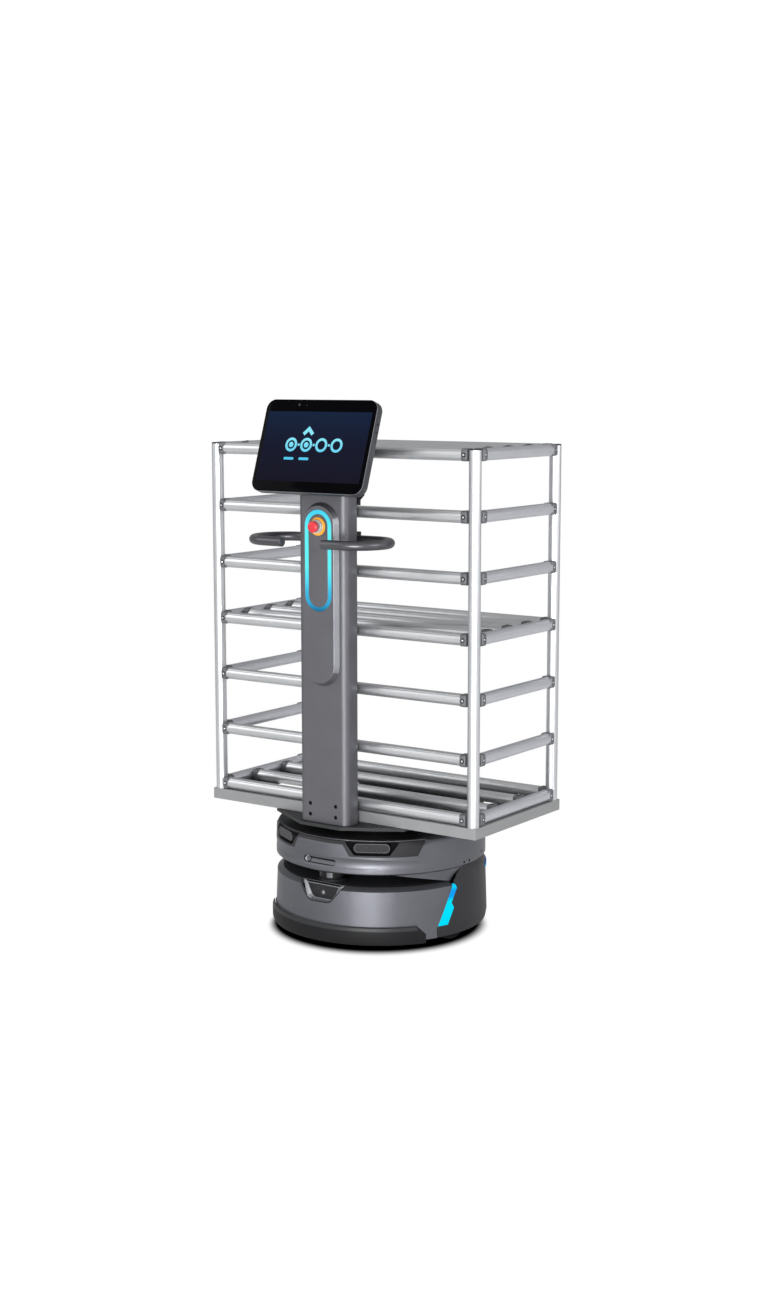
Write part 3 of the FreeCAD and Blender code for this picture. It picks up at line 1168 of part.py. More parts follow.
def makeRack():
    left = "-rackX / 2"
    right = "rackX / 2"
    front = "rackY - rackDepth / 2"
    rear = "rackY + rackDepth / 2"
    clear = "(pipeRadius + jointLength)"
    levels = ["bottomRail + %d * railPitch" % step for step in range(7)]
    foot = "deckTop + trayHeight"
    backTurn = Rotation(Vector(1, 0, 0), -90)
    posts = []
    caps = []
    for step, (x, y) in enumerate(((left, front), (right, front), (right, rear), (left, rear))):
        posts.append(tube("post%d" % step, "pipeRadius", "pipeWall",
                          "rackTop - capHeight - (%s)" % foot, x, y, foot))
        caps.append(rod("cap%d" % step, "pipeRadius", "capHeight", x, y, "rackTop - capHeight"))
    keep(group("rackPosts", posts), "rack_posts")
    keep(group("postCaps", caps), "post_caps")

    across = "rackX - 2 * %s" % clear
    along = "rackDepth - 2 * %s" % clear
    joints = []
    frontRails = []
    rearRails = []
    sideRails = []
    slats = []

    def acrossPipe(name, y, z):
        joints.append(jointBlock(name + "JointLeft", left + " + pipeRadius", y, z, sidewaysTurn))
        joints.append(jointBlock(name + "JointRight", right + " - " + clear, y, z, sidewaysTurn))
        return pipe(name, across, left + " + " + clear, y, z, sidewaysTurn)

    for step, z in enumerate(levels):
        frontRails.append(acrossPipe("frontRail%d" % step, front, z))
        for side, x in (("Left", left), ("Right", right)):
            name = "sideRail%s%d" % (side, step)
            joints.append(jointBlock(name + "JointFront", x, front + " + pipeRadius", z, backTurn))
            joints.append(jointBlock(name + "JointRear", x, rear + " - " + clear, z, backTurn))
            sideRails.append(pipe(name, along, x, front + " + " + clear, z, backTurn))
    for step in (0, 3, 6):
        rearRails.append(acrossPipe("rearRail%d" % step, rear, levels[step]))
        spaces = 3 if step == 0 else 4
        for turn in range(1, spaces):
            y = "%s + rackDepth * %d / %d" % (front, turn, spaces)
            slats.append(acrossPipe("slat%d_%d" % (step, turn), y, levels[step]))
    keep(group("frontRails", frontRails), "front_rails")
    keep(group("rearRails", rearRails), "rear_rails")
    keep(group("sideRails", sideRails), "side_rails")
    keep(group("shelfSlats", slats), "shelf_slats")
    keep(group("pipeJoints", joints), "pipe_joints")


def bevelled(halfX, halfY, bevel):
    return ((halfX, "-(%s) + %s" % (halfY, bevel)), (halfX, "%s - %s" % (halfY, bevel)),
            ("%s - %s" % (halfX, bevel), halfY), ("-(%s) + %s" % (halfX, bevel), halfY),
            ("-(%s)" % halfX, "%s - %s" % (halfY, bevel)),
            ("-(%s)" % halfX, "-(%s) + %s" % (halfY, bevel)),
            ("-(%s) + %s" % (halfX, bevel), "-(%s)" % halfY),
            ("%s - %s" % (halfX, bevel), "-(%s)" % halfY))


def makeMast():
    # The mast is a hollow extrusion with rounded edges, closed at its top
    body = newBody("mast")
    corners = (("-mastX / 2", "-mastY / 2"), ("mastX / 2", "-mastY / 2"),
               ("mastX / 2", "mastY / 2"), ("-mastX / 2", "mastY / 2"))
    sketch = bodySketch(body, "mastSketch", "XY_Plane", corners)
    solid = pad(body, "mastPad", sketch, "mastTop - deckTop")
    roundEdges(body, "mastRound", solid, "mastCorner", lambda edge: runsAlong(edge, upAxis))
    inside = bodySketch(body, "mastInside", "XY_Plane", bevelled(
        "mastX / 2 - mastWall", "mastY / 2 - mastWall", "mastInnerBevel"))
    pocket(body, "mastHollow", inside, "mastTop - deckTop - mastWall", True)
    spots = [(x + "mastHoleX", z) for x in ("-", "") for z in ("mastHoleLow", "mastHoleHigh")]
    holes = circles(body, "mastHoles", "XZ_Plane", "mastHoleRadius", spots, "mastY / 2")
    pocket(body, "mastHoleCut", holes, "mastWall + cutPast")
    barrel = circles(body, "mastBarrel", "XZ_Plane", "stopBarrel + footFit",
                     [("0", "stopHeight - deckTop")], "mastY / 2")
    pocket(body, "mastBarrelCut", barrel, "mastWall + cutPast")
    place(body, 0, "mastFront + mastY / 2", "deckTop")
    keep(body, "mast_tube")

    foot = prism("mastFoot", bevelled(
        "mastX / 2 - mastWall - footFit", "mastY / 2 - mastWall - footFit", "mastInnerBevel"),
        upTurn, "footHeight")
    keep(place(foot, 0, "mastFront + mastY / 2", "deckTop"), "mast_foot")


def makePanel():
    # The raised panel is a tall slot shape with drafted flanks
    low = "panelLow + panelHalf"
    high = "panelHigh - panelHalf"
    middle = part("Wedge", "panelMiddle", Ymin="0", Ymax="panelRise", Zmin="0",
                  Z2min="0", Zmax="%s - (%s)" % (high, low), Z2max="%s - (%s)" % (high, low),
                  Xmin="-panelFaceHalf", Xmax="panelFaceHalf", X2min="-panelHalf",
                  X2max="panelHalf")
    place(middle, 0, "mastFront - panelRise", low)
    ends = []
    for name, height in (("panelFoot", low), ("panelHead", high)):
        cone = part("Cone", name, Radius1="panelHalf", Radius2="panelFaceHalf", Height="panelRise")
        ends.append(place(cone, 0, "mastFront", height, frontTurn))
    solid = fuse("panelSolid", middle, *ends)
    face = "mastFront - panelRise"
    outer = standing("seatOuter", "glowOuter + shroudPlay", "glowLow - shroudPlay",
                     "glowHigh + shroudPlay", "panelRise", face + " + glowSeat")
    inner = standing("seatInner", "glowInner - shroudPlay",
                     "glowLow + glowOuter - glowInner + shroudPlay",
                     "glowHigh - glowOuter + glowInner - shroudPlay", "panelRise",
                     face + " + glowSeat")
    bore = rod("panelBore", "stopBarrel + footFit", "2 * panelRise", 0, "mastFront", "stopHeight",
               frontTurn)
    keep(cut("mastPanel", solid, cut("glowGroove", outer, inner), bore), "mast_panel")

    outer = standing("glowOutside", "glowOuter", "glowLow", "glowHigh", "glowThickness",
                     face + " + glowSeat - glowPlay")
    inner = standing("glowInside", "glowInner", "glowLow + glowOuter - glowInner",
                     "glowHigh - glowOuter + glowInner", "glowThickness",
                     face + " + glowSeat - glowPlay")
    keep(cut("lightRing", outer, inner), "light_ring")


def makeStop():
    # Emergency stop: flanged collar, sliding plunger and a head that twists on it
    face = "mastFront - panelRise"
    flange = rod("stopFlange", "stopFlange", "stopFlangeWidth", 0, face, "stopHeight", frontTurn)
    collar = rod("stopCollar", "stopCollar", "stopFlangeWidth + stopCollarLength", 0, face,
                 "stopHeight", frontTurn)
    barrel = rod("stopBarrel", "stopBarrel", "stopBarrelLength", 0, face + " + stopBarrelLength",
                 "stopHeight", frontTurn)
    bore = rod("stopBore", "stopStem + slideFit", "2 * stopBarrelLength", 0,
               face + " + stopBarrelLength", "stopHeight", frontTurn)
    keep(cut("stopCollarSolid", fuse("stopBody", flange, collar, barrel), bore), "estop_collar")

    headBack = "%s - stopFlangeWidth - stopCollarLength - stopTravel - bodyPlay" % face
    stem = rod("stopStem", "stopStem", "stopBarrelLength / 2 + stopFlangeWidth"
               " + stopCollarLength + stopTravel + stopSocket", 0,
               face + " + stopBarrelLength / 2", "stopHeight", frontTurn)
    keep(stem, "estop_plunger")
    head = turned("stopHeadSolid", (
        ("stopStem + slideFit", "0"), ("stopHead - stopBackBevel", "0"),
        ("stopHead", "stopBackBevel"),
        ("stopHead", "stopHeadLength - stopFaceBevel"),
        ("stopHead - stopFaceBevel", "stopHeadLength"),
        ("0", "stopHeadLength"), ("0", "stopSocket"), ("stopStem + slideFit", "stopSocket")))
    keep(place(head, 0, headBack, "stopHeight", frontTurn), "estop_head")


def barShape(name, radius, endX):
    # Two runs joined by a wide half circle at both sides
    bend = "(barRear - barFront) / 2"
    run = "barBendX - (" + endX + ")"
    pieces = [rod(name + "Rear", radius, "2 * barBendX", "-barBendX", "barRear", 0, sidewaysTurn),
              rod(name + "Left", radius, run, "-barBendX", "barFront", 0, sidewaysTurn),
              rod(name + "Right", radius, run, endX, "barFront", 0, sidewaysTurn)]
    for side, sign in (("Left", "-"), ("Right", "")):
        curve = part("Torus", name + "Bend" + side, Radius1=bend, Radius2=radius, Angle3="180")
        turn = Rotation(Vector(0, 0, 1), 90 if sign else -90)
        pieces.append(place(curve, sign + "barBendX", "barFront + " + bend, 0, turn))
    return fuse(name, *pieces)


def makeHandle():
    bar = cut("handlebar", barShape("barOutside", "barRadius", "barEndX"),
              barShape("barInside", "barRadius - barWall", "barEndX + barWall"))
    keep(place(bar, 0, 0, "barHeight"), "handlebar")

    # Two clamps hold its rear run against the mast's back
    clamps = []
    for side, sign in (("Left", "-"), ("Right", "")):
        solid = slab("clampBlock" + side, "clampWidth", "clampBack - mastFront - mastY",
                     "2 * clampHalf", "mastFront + mastY", "barHeight - clampHalf",
                     sign + "clampX")
        bore = rod("clampBore" + side, "barRadius + slideFit", "4 * clampX", "-2 * clampX",
                   "barRear", "barHeight", sidewaysTurn)
        clamps.append(cut("clamp" + side, solid, bore))
    keep(group("handleClamps", clamps), "handle_clamps")


def onTablet(item, label):
    item.Placement = Placement(Vector(), Rotation(Vector(-1, 0, 0), 1))
    item.setExpression("Placement.Rotation.Angle", tied("tabletTilt"))
    item.setExpression("Placement.Base.y", tied("tabletY"))
    item.setExpression("Placement.Base.z", tied("tabletHeight"))
    return keep(item, label) if label else item


def makeTablet():
    # The display's middle is the tablet's own origin, it faces -Y before it leans back
    acrossAxis = Vector(0, 1, 0)
    corners = (("-tabletX / 2", "-tabletDown"), ("tabletX / 2", "-tabletDown"),
               ("tabletX / 2", "tabletUp"), ("-tabletX / 2", "tabletUp"))
    shell = newBody("shell")
    sketch = bodySketch(shell, "shellSketch", "XZ_Plane", corners, "-glassThickness")
    solid = pad(shell, "shellPad", sketch, "tabletDepth - glassThickness", True)
    rounded = roundEdges(shell, "shellCorners", solid, "tabletCorner",
                         lambda edge: runsAlong(edge, acrossAxis))
    back = value["tabletDepth"]
    rounded = roundEdges(shell, "shellBack", rounded, "tabletEdge",
                         lambda edge: abs(edge.BoundBox.YMin - back) < 0.01)
    slot = bodySketch(shell, "keySlot", "XY_Plane", (
        ("keyX - keyHalf - keyFit", "tabletDepth / 2 - keyWidth / 2 - keyFit"),
        ("keyX + keyHalf + keyFit", "tabletDepth / 2 - keyWidth / 2 - keyFit"),
        ("keyX + keyHalf + keyFit", "tabletDepth / 2 + keyWidth / 2 + keyFit"),
        ("keyX - keyHalf - keyFit", "tabletDepth / 2 + keyWidth / 2 + keyFit")), "tabletUp")
    pocket(shell, "keyPocket", slot, "keyDepth + 2 * keyFit")
    onTablet(shell, "tablet_shell")

    glass = newBody("glass")
    sketch = bodySketch(glass, "glassSketch", "XZ_Plane", corners)
    solid = pad(glass, "glassPad", sketch, "glassThickness", True)
    roundEdges(glass, "glassCorners", solid, "tabletCorner",
               lambda edge: runsAlong(edge, acrossAxis))
    area = (("-displayX / 2", "-displayZ / 2"), ("displayX / 2", "-displayZ / 2"),
            ("displayX / 2", "displayZ / 2"), ("-displayX / 2", "displayZ / 2"))
    sketch = bodySketch(glass, "displaySketch", "XZ_Plane", area)
    pocket(glass, "displayPocket", sketch, "displaySeat")
    onTablet(glass, "tablet_glass")

    display = slab("display", "displayX", "displaySeat", "displayZ", 0, "-displayZ / 2")
    onTablet(group("displayPlate", [display]), "tablet_display")
    key = slab("key", "2 * keyHalf", "keyWidth", "keyDepth + keyRise - keyFit",
               "tabletDepth / 2 - keyWidth / 2", "tabletUp - keyDepth + keyFit", "keyX")
    onTablet(group("keyPlate", [key]), "tablet_key")


def makeYoke():
    # A bent bracket behind the mast whose cheeks reach round it to the tablet's back
    back = "(mastFront + mastY)"
    leaning = "tabletY + tabletDepth * cos(tabletTilt) + (%s - tabletHeight" \
              " + tabletDepth * sin(tabletTilt)) * tan(tabletTilt)"
    plate = prism("yokeBack", (
        ("-yokeNeckHalf", "yokeLow"), ("yokeNeckHalf", "yokeLow"), ("yokeNeckHalf", "yokeNeck"),
        ("yokeHalf", "yokeFlare"), ("yokeHalf", "yokeTop"), ("-yokeHalf", "yokeTop"),
        ("-yokeHalf", "yokeFlare"), ("-yokeNeckHalf", "yokeNeck")),
        frontTurn, "-" + back, back + " + yokePlate")
    cheeks = []
    for side, sign in (("Left", "-"), ("Right", "")):
        cheek = prism("cheek" + side, (
            (back, "yokeFlare"), (back + " - yokeReach", "yokeFlare"),
            (leaning % "yokeLip", "yokeLip"), (leaning % "yokeTop", "yokeTop"),
            (back, "yokeTop")), sideTurn, "yokePlate")
        start = "yokeHalf - yokePlate" if sign == "" else "-yokeHalf"
        cheeks.append(place(cheek, start))
    mounting = slab("mountingPlate", "2 * yokeHalf", "yokePlate", "padLow - padHigh",
                    "tabletDepth", "-padLow")
    mounting = onTablet(group("mountingTurned", [mounting]), None)
    keep(fuse("tabletYoke", plate, *cheeks, mounting), "tablet_yoke")


makeShells()
makeLights()
makeRing()
makeFrontCamera()
makeBumper()
makeFloor()
makeInside()
makeDrive()
makeCasters()
makeRearFittings()
makeTray()
makeRack()
makeMast()
makePanel()
makeStop()
makeHandle()
makeTablet()
makeYoke()
doc.recompute()

failed = [item.Name for item in doc.Objects if "Invalid" in item.State or "Error" in item.State]
if failed:
    raise RuntimeError("objects that failed: " + ", ".join(failed))
for item in subParts:
    if item.Shape.isNull() or not item.Shape.isValid() or not item.Shape.Solids:
        raise RuntimeError("no valid solid in " + item.Label)

os.makedirs("parts", exist_ok=True)
for item in subParts:
    item.Shape.exportStep(os.path.join("parts", item.Label + ".step"))
print("sub-parts written:", len(subParts))
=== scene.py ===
import json
import math

import bmesh
import bpy
from mathutils import Matrix, Vector

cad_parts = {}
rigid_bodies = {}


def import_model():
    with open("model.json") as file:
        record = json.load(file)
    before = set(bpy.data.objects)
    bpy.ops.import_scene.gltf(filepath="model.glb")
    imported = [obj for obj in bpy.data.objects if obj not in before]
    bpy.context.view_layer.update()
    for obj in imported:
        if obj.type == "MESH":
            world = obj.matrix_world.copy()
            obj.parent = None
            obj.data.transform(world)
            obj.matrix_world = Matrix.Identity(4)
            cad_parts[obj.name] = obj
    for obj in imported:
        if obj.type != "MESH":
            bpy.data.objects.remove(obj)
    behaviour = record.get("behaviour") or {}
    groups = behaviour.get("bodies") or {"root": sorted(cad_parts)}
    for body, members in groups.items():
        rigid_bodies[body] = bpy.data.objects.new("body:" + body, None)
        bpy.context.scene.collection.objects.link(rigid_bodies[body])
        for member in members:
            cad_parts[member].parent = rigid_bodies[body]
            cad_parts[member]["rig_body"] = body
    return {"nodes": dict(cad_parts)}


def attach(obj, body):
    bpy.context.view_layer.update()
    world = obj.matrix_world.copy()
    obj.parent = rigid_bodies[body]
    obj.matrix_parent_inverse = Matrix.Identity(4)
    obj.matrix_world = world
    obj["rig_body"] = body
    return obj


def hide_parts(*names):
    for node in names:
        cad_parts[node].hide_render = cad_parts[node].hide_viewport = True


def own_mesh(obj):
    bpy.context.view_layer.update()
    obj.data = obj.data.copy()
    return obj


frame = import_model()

# Delivery robot with a pipe rack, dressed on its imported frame.
# Pieces are built in millimetres and scaled once, when they are finished.

scene = bpy.context.scene
cadNodes = frame["nodes"]
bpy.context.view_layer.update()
axisY = 29.5  # middle of the round chassis
print("frame loaded,", len(cadNodes), "nodes")


# Finishes

def linear(rgb):
    values = [c / 255 for c in rgb]
    return tuple(((v + 0.055) / 1.055) ** 2.4 if v > 0.04 else v / 12.92 for v in values) + (1.0,)


def shade(rgb, factor):
    return tuple(min(255, c * factor) for c in rgb)


def setInputs(node, values):
    for name, value in values.items():
        node.inputs[name].default_value = value


def addNode(nodes, kind, inputs=None, **settings):
    node = nodes.new("ShaderNode" + kind)
    for name, value in settings.items():
        setattr(node, name, value)
    setInputs(node, inputs or {})
    return node


def startMaterial(name):
    material = bpy.data.materials.new(name)
    material.use_nodes = True
    nodes, links = material.node_tree.nodes, material.node_tree.links
    return material, nodes, links, nodes["Principled BSDF"]


def noise(nodes, links, vector, scale, detail=3.0):
    node = addNode(nodes, "TexNoise", {"Scale": scale, "Detail": detail})
    links.new(vector, node.inputs["Vector"])
    return node.outputs["Fac"]


def spread(nodes, links, source, low, high, fromLow=0.3, fromHigh=0.7):
    node = addNode(nodes, "MapRange", {"From Min": fromLow, "From Max": fromHigh, "To Min": low, "To Max": high})
    links.new(source, node.inputs["Value"])
    return node.outputs["Result"]


finishes = {}


def addFinish(name, colour, rough, metallic=0.0, grain=1500, bump=0.1, vary=0.06, stretch=(1, 1, 1),
              coat=0.0, coatRough=0.08, specular=0.5):
    # Colour drifts slowly over the surface, the grain drives roughness and relief
    material, nodes, links, shader = startMaterial(name)
    coords = addNode(nodes, "TexCoord")
    mapping = addNode(nodes, "Mapping", {"Scale": stretch})
    links.new(coords.outputs["Object"], mapping.inputs["Vector"])
    fine = noise(nodes, links, mapping.outputs["Vector"], grain)
    broad = noise(nodes, links, coords.outputs["Object"], 14, 5.0)
    mix = addNode(nodes, "Mix", {"A": linear(shade(colour, 1 - vary)), "B": linear(shade(colour, 1 + vary))},
                  data_type="RGBA")
    links.new(spread(nodes, links, broad, 0.0, 1.0), mix.inputs["Factor"])
    links.new(mix.outputs["Result"], shader.inputs["Base Color"])
    links.new(spread(nodes, links, fine, rough * 0.86, min(1.0, rough * 1.16)), shader.inputs["Roughness"])
    relief = addNode(nodes, "Bump", {"Strength": bump, "Distance": 0.0003})
    links.new(fine, relief.inputs["Height"])
    links.new(relief.outputs["Normal"], shader.inputs["Normal"])
    setInputs(shader, {"Metallic": metallic, "Specular IOR Level": specular, "Coat Weight": coat,
                       "Coat Roughness": coatRough})
    finishes[name] = material


def addGlow(name, lowZ, highZ, *stops):
    # Lit plastic whose colour changes with height, from the first stop at lowZ to the last at highZ
    material, nodes, links, shader = startMaterial(name)
    coords = addNode(nodes, "TexCoord")
    split = addNode(nodes, "SeparateXYZ")
    links.new(coords.outputs["Object"], split.inputs["Vector"])
    height = spread(nodes, links, split.outputs["Z"], 0.0, 1.0, lowZ / 1000, highZ / 1000)
    ramp = addNode(nodes, "ValToRGB")
    band = ramp.color_ramp.elements
    band[0].color, band[1].color = linear(stops[0][1]), linear(stops[-1][1])
    for place, colour in stops[1:-1]:
        band.new(place).color = linear(colour)
    links.new(height, ramp.inputs["Fac"])
    grain = noise(nodes, links, coords.outputs["Object"], 900)
    links.new(spread(nodes, links, grain, 0.25, 0.4), shader.inputs["Roughness"])
    setInputs(shader, {"Base Color": (0.0008, 0.001, 0.0014, 1), "Specular IOR Level": 0.0,
                       "Emission Strength": 1.0})
    links.new(ramp.outputs["Color"], shader.inputs["Emission Color"])
    finishes[name] = material


addFinish("silverShell", (106, 107, 113), 0.42, 0.85, grain=2600, bump=0.03, vary=0.025, coat=0.1,
          coatRough=0.3, specular=0.3)
addFinish("charcoalShell", (46, 46, 49), 0.46, 0.2, grain=1900, bump=0.12, vary=0.04, specular=0.3)
addFinish("bumperRubber", (22, 22, 24), 0.5, grain=1300, bump=0.2, vary=0.06, specular=0.2)
addFinish("darkPlastic", (24, 24, 27), 0.5, grain=1500, bump=0.25, vary=0.1, specular=0.25)
# Painted shade: a darker finish for the ring's flat top under the deck plate
addFinish("ringTopShade", (38, 38, 41), 0.42, 0.2, grain=1700, bump=0.1, vary=0.06, specular=0.3)
addFinish("deckPaint", (42, 43, 45), 0.5, 0.2, grain=1100, bump=0.2, vary=0.05, specular=0.25)
addFinish("deckEdge", (44, 45, 46), 0.6, 0.0, grain=1100, bump=0.1, vary=0.05, specular=0.3)
# Painted shadow: the black strip along the range slot's top
addFinish("stripShadowBlack", (6, 6, 8), 0.12, grain=700, bump=0.01, vary=0.1, specular=0.2)
addFinish("scannerGloss", (8, 8, 10), 0.25, grain=700, bump=0.005, vary=0.1, specular=0.3)
# Painted reflections: the paler arcs on the scanner's glossy head
addFinish("scannerReflection", (104, 105, 110), 0.4, 0.6, grain=900, bump=0.01, vary=0.03)
# Painted light: a lighter silver than the shell for the front camera's funnel
addFinish("bezelSilverLit", (158, 160, 166), 0.46, 0.6, grain=2400, bump=0.04, vary=0.02)
# Painted light: a lighter rubber for the bumper's upward slant
addFinish("bumperSlant", (38, 39, 41), 0.42, grain=1300, bump=0.15, vary=0.05, specular=0.35)
addFinish("smokedGlass", (37, 37, 40), 0.28, grain=900, bump=0.01, vary=0.05, specular=0.25)
addFinish("tabletGlass", (4, 4, 6), 0.1, grain=500, bump=0.002, vary=0.1, specular=0.02)
addFinish("mastPaint", (108, 108, 113), 0.52, 0.85, grain=2400, bump=0.04, vary=0.02, coat=0.05, coatRough=0.3,
          specular=0.3)
# Painted light: a lighter silver for the mast panel's side flanks
addFinish("flankHighlight", (146, 147, 153), 0.46, 0.8, grain=2400, bump=0.04, vary=0.02)
addFinish("barCoat", (92, 92, 96), 0.33, 0.85, grain=2200, bump=0.1, vary=0.05, specular=0.5)
addFinish("barPlug", (70, 88, 104), 0.5, grain=1400, bump=0.1, vary=0.05, specular=0.3)
addFinish("aluminium", (205, 207, 210), 0.36, 0.9, grain=420, bump=0.03, vary=0.015, stretch=(1, 1, 0.02))
addFinish("aluminiumX", (208, 210, 212), 0.36, 0.9, grain=420, bump=0.03, vary=0.015, stretch=(0.02, 1, 1))
addFinish("aluminiumY", (206, 208, 214), 0.36, 0.9, grain=420, bump=0.03, vary=0.015, stretch=(1, 0.02, 1))
addFinish("jointMetal", (112, 113, 116), 0.5, 0.6, grain=1200, bump=0.3, vary=0.06)
addFinish("boltSteel", (225, 226, 230), 0.22, 0.95, grain=1500, bump=0.03, vary=0.04)
addFinish("steel", (160, 162, 166), 0.34, 0.95, grain=1500, bump=0.08, vary=0.05)
addFinish("brass", (200, 160, 84), 0.3, 0.95, grain=1500, bump=0.05, vary=0.06)
addFinish("trayMetal", (152, 153, 154), 0.5, 0.5, grain=900, bump=0.06, vary=0.015, specular=0.3)
addFinish("capPlastic", (46, 47, 50), 0.5, grain=1500, bump=0.2, vary=0.1, specular=0.3)
addFinish("tyreRubber", (16, 16, 17), 0.75, grain=1100, bump=0.5, vary=0.14, specular=0.15)
addFinish("casterGrey", (96, 97, 100), 0.55, grain=1100, bump=0.2, vary=0.1, specular=0.3)
addFinish("tabletShell", (70, 72, 76), 0.38, 0.5, grain=2000, bump=0.08, vary=0.03)
addFinish("tabletEdge", (150, 152, 158), 0.28, 0.8, grain=2000, bump=0.02, vary=0.03)
addFinish("yokePaint", (40, 41, 44), 0.48, 0.3, grain=1600, bump=0.2, vary=0.06, specular=0.3)
addFinish("stopRed", (206, 36, 48), 0.3, grain=1200, bump=0.05, vary=0.05, coat=0.6, coatRough=0.15)
addFinish("stopYellow", (240, 162, 40), 0.42, grain=1200, bump=0.08, vary=0.05)
addFinish("collarSilver", (186, 186, 188), 0.36, 0.3, grain=1500, bump=0.04, vary=0.04)
# Near-black: the own colour of the bolt rings, grommets, ring screws and gap shroud, and painted shade in the
# pits, the ports, the funnel's top and under the ring
addFinish("blackPartsAndShade", (7, 7, 8), 0.8, grain=1200, bump=0.2, vary=0.2, specular=0.1)
addFinish("trimLine", (90, 91, 95), 0.4, 0.5, grain=1500, bump=0.03, vary=0.04)
# Painted highlights: the funnel's side walls, the range slot's pale end and the lens's middle
addFinish("paleHighlight", (176, 178, 182), 0.4, 0.2, grain=900, bump=0.01, vary=0.03)
addFinish("frameLine", (134, 136, 141), 0.42, 0.3, grain=1500, bump=0.02, vary=0.03)
addFinish("battery", (60, 76, 96), 0.55, grain=1000, bump=0.2, vary=0.08)
addGlow("ringGlow", 802, 1036, (0.0, (34, 108, 150)), (0.08, (56, 166, 212)), (0.19, (66, 188, 228)),
        (0.3, (84, 224, 250)), (0.44, (98, 248, 252)), (0.8, (98, 246, 252)), (1.0, (72, 214, 246)))
addGlow("sideGlow", 50, 158, (0.0, (0, 222, 255)), (0.58, (0, 228, 255)), (0.68, (14, 164, 248)),
        (0.8, (16, 158, 246)), (0.9, (0, 222, 255)), (1.0, (8, 150, 226)))
addGlow("tailGlow", 150, 166, (0.0, (70, 176, 222)), (1.0, (6, 78, 140)))
addGlow("screenGlow", 1150, 1200, (0.0, (84, 200, 240)), (1.0, (140, 232, 250)))
addGlow("displayGlow", 1102, 1258, (0.0, (25, 24, 37)), (0.55, (25, 27, 46)), (1.0, (23, 37, 62)))
print("finishes made:", len(finishes))


# Shared ways of building

def newMesh():
    return bmesh.new()


def moved(bm, matrix):
    bmesh.ops.transform(bm, matrix=matrix, verts=bm.verts)
    return bm


def at(x, y, z):
    return Matrix.Translation((x, y, z))


def turn(angle, axis):
    return Matrix.Rotation(math.radians(angle), 4, axis)


def facing(angle):
    # Takes a thing at the chassis front round the chassis axis
    return at(0, axisY, 0) @ turn(angle, "Z") @ at(0, -axisY, 0)


def joined(*parts):
    whole = newMesh()
    for bm in parts:
        mesh = bpy.data.meshes.new("joining")
        bm.to_mesh(mesh)
        bm.free()
        whole.from_mesh(mesh)
        bpy.data.meshes.remove(mesh)
    return whole


def spun(profile, steps, closed=True, angle=360):
    # A profile of radius and height turned round Z
    bm = newMesh()
    verts = [bm.verts.new((radius, 0, height)) for radius, height in profile]
    edges = [bm.edges.new(pair) for pair in zip(verts, verts[1:])]
    if closed:
        edges.append(bm.edges.new((verts[-1], verts[0])))
    bmesh.ops.spin(bm, geom=verts + edges, cent=(0, 0, 0), axis=(0, 0, 1), angle=math.radians(angle),
                   steps=steps, use_merge=angle == 360)
    bmesh.ops.remove_doubles(bm, verts=bm.verts, dist=0.0005)
    bmesh.ops.recalc_face_normals(bm, faces=bm.faces)
    return bm


def bevelEdges(bm, width):
    edges = [e for e in bm.edges if len(e.link_faces) == 2 and e.calc_face_angle() > math.radians(30)]
    bmesh.ops.bevel(bm, geom=edges, offset=width, segments=2, profile=0.5, affect="EDGES",
                    material=-1, clamp_overlap=True)


def outlineFace(points, corner=0.0, segments=8):
    # A flat outline in XZ, facing -Y, with rounded corners
    bm = newMesh()
    bm.faces.new([bm.verts.new((x, 0, z)) for x, z in points])
    if corner:
        bmesh.ops.bevel(bm, geom=list(bm.verts), offset=corner, segments=segments, profile=0.5,
                        affect="VERTICES", material=-1, clamp_overlap=True)
        bmesh.ops.remove_doubles(bm, verts=bm.verts, dist=0.01)
    bmesh.ops.recalc_face_normals(bm, faces=bm.faces)
    if bm.faces[:][0].normal.y > 0:
        bmesh.ops.reverse_faces(bm, faces=bm.faces)
    return bm


def vertsOf(made):
    return [item for item in made["geom"] if isinstance(item, bmesh.types.BMVert)]


def thick(bm, depth):
    # Gives a flat outline its depth towards +Y
    made = bmesh.ops.extrude_face_region(bm, geom=bm.faces[:])
    bmesh.ops.translate(bm, vec=(0, depth, 0), verts=vertsOf(made))
    bmesh.ops.recalc_face_normals(bm, faces=bm.faces)
    return bm


def rimOnly(bm, width):
    # Leaves only the edge strip of a flat outline
    made = bmesh.ops.inset_region(bm, faces=bm.faces[:], thickness=width, use_boundary=True,
                                  use_even_offset=True)
    bmesh.ops.delete(bm, geom=[f for f in bm.faces if f not in made["faces"]], context="FACES")
    return bm


def bridgeRows(bm, rows):
    # Faces between neighbouring rows of verts, where each row is closed
    for first, second in zip(rows, rows[1:]):
        for step in range(len(first)):
            after = (step + 1) % len(first)
            bm.faces.new((first[step], first[after], second[after], second[step]))


def rectangle(halfX, halfZ, x=0, z=0):
    return ((x - halfX, z - halfZ), (x + halfX, z - halfZ), (x + halfX, z + halfZ), (x - halfX, z + halfZ))


def lyingStadium(radius, half, depth, y, z):
    face = outlineFace(rectangle(half + radius, radius, 0, z), radius, 16)
    return moved(thick(face, depth), at(0, y, 0))


def disc(radius, depth, steps, edge=0.0):
    # A disc that faces -Y, its back on the plane y = 0
    bm = spun(((0, 0), (radius, 0), (radius, depth), (0, depth)), steps, closed=False)
    if edge:
        bevelEdges(bm, edge)
    return moved(bm, turn(90, "X"))


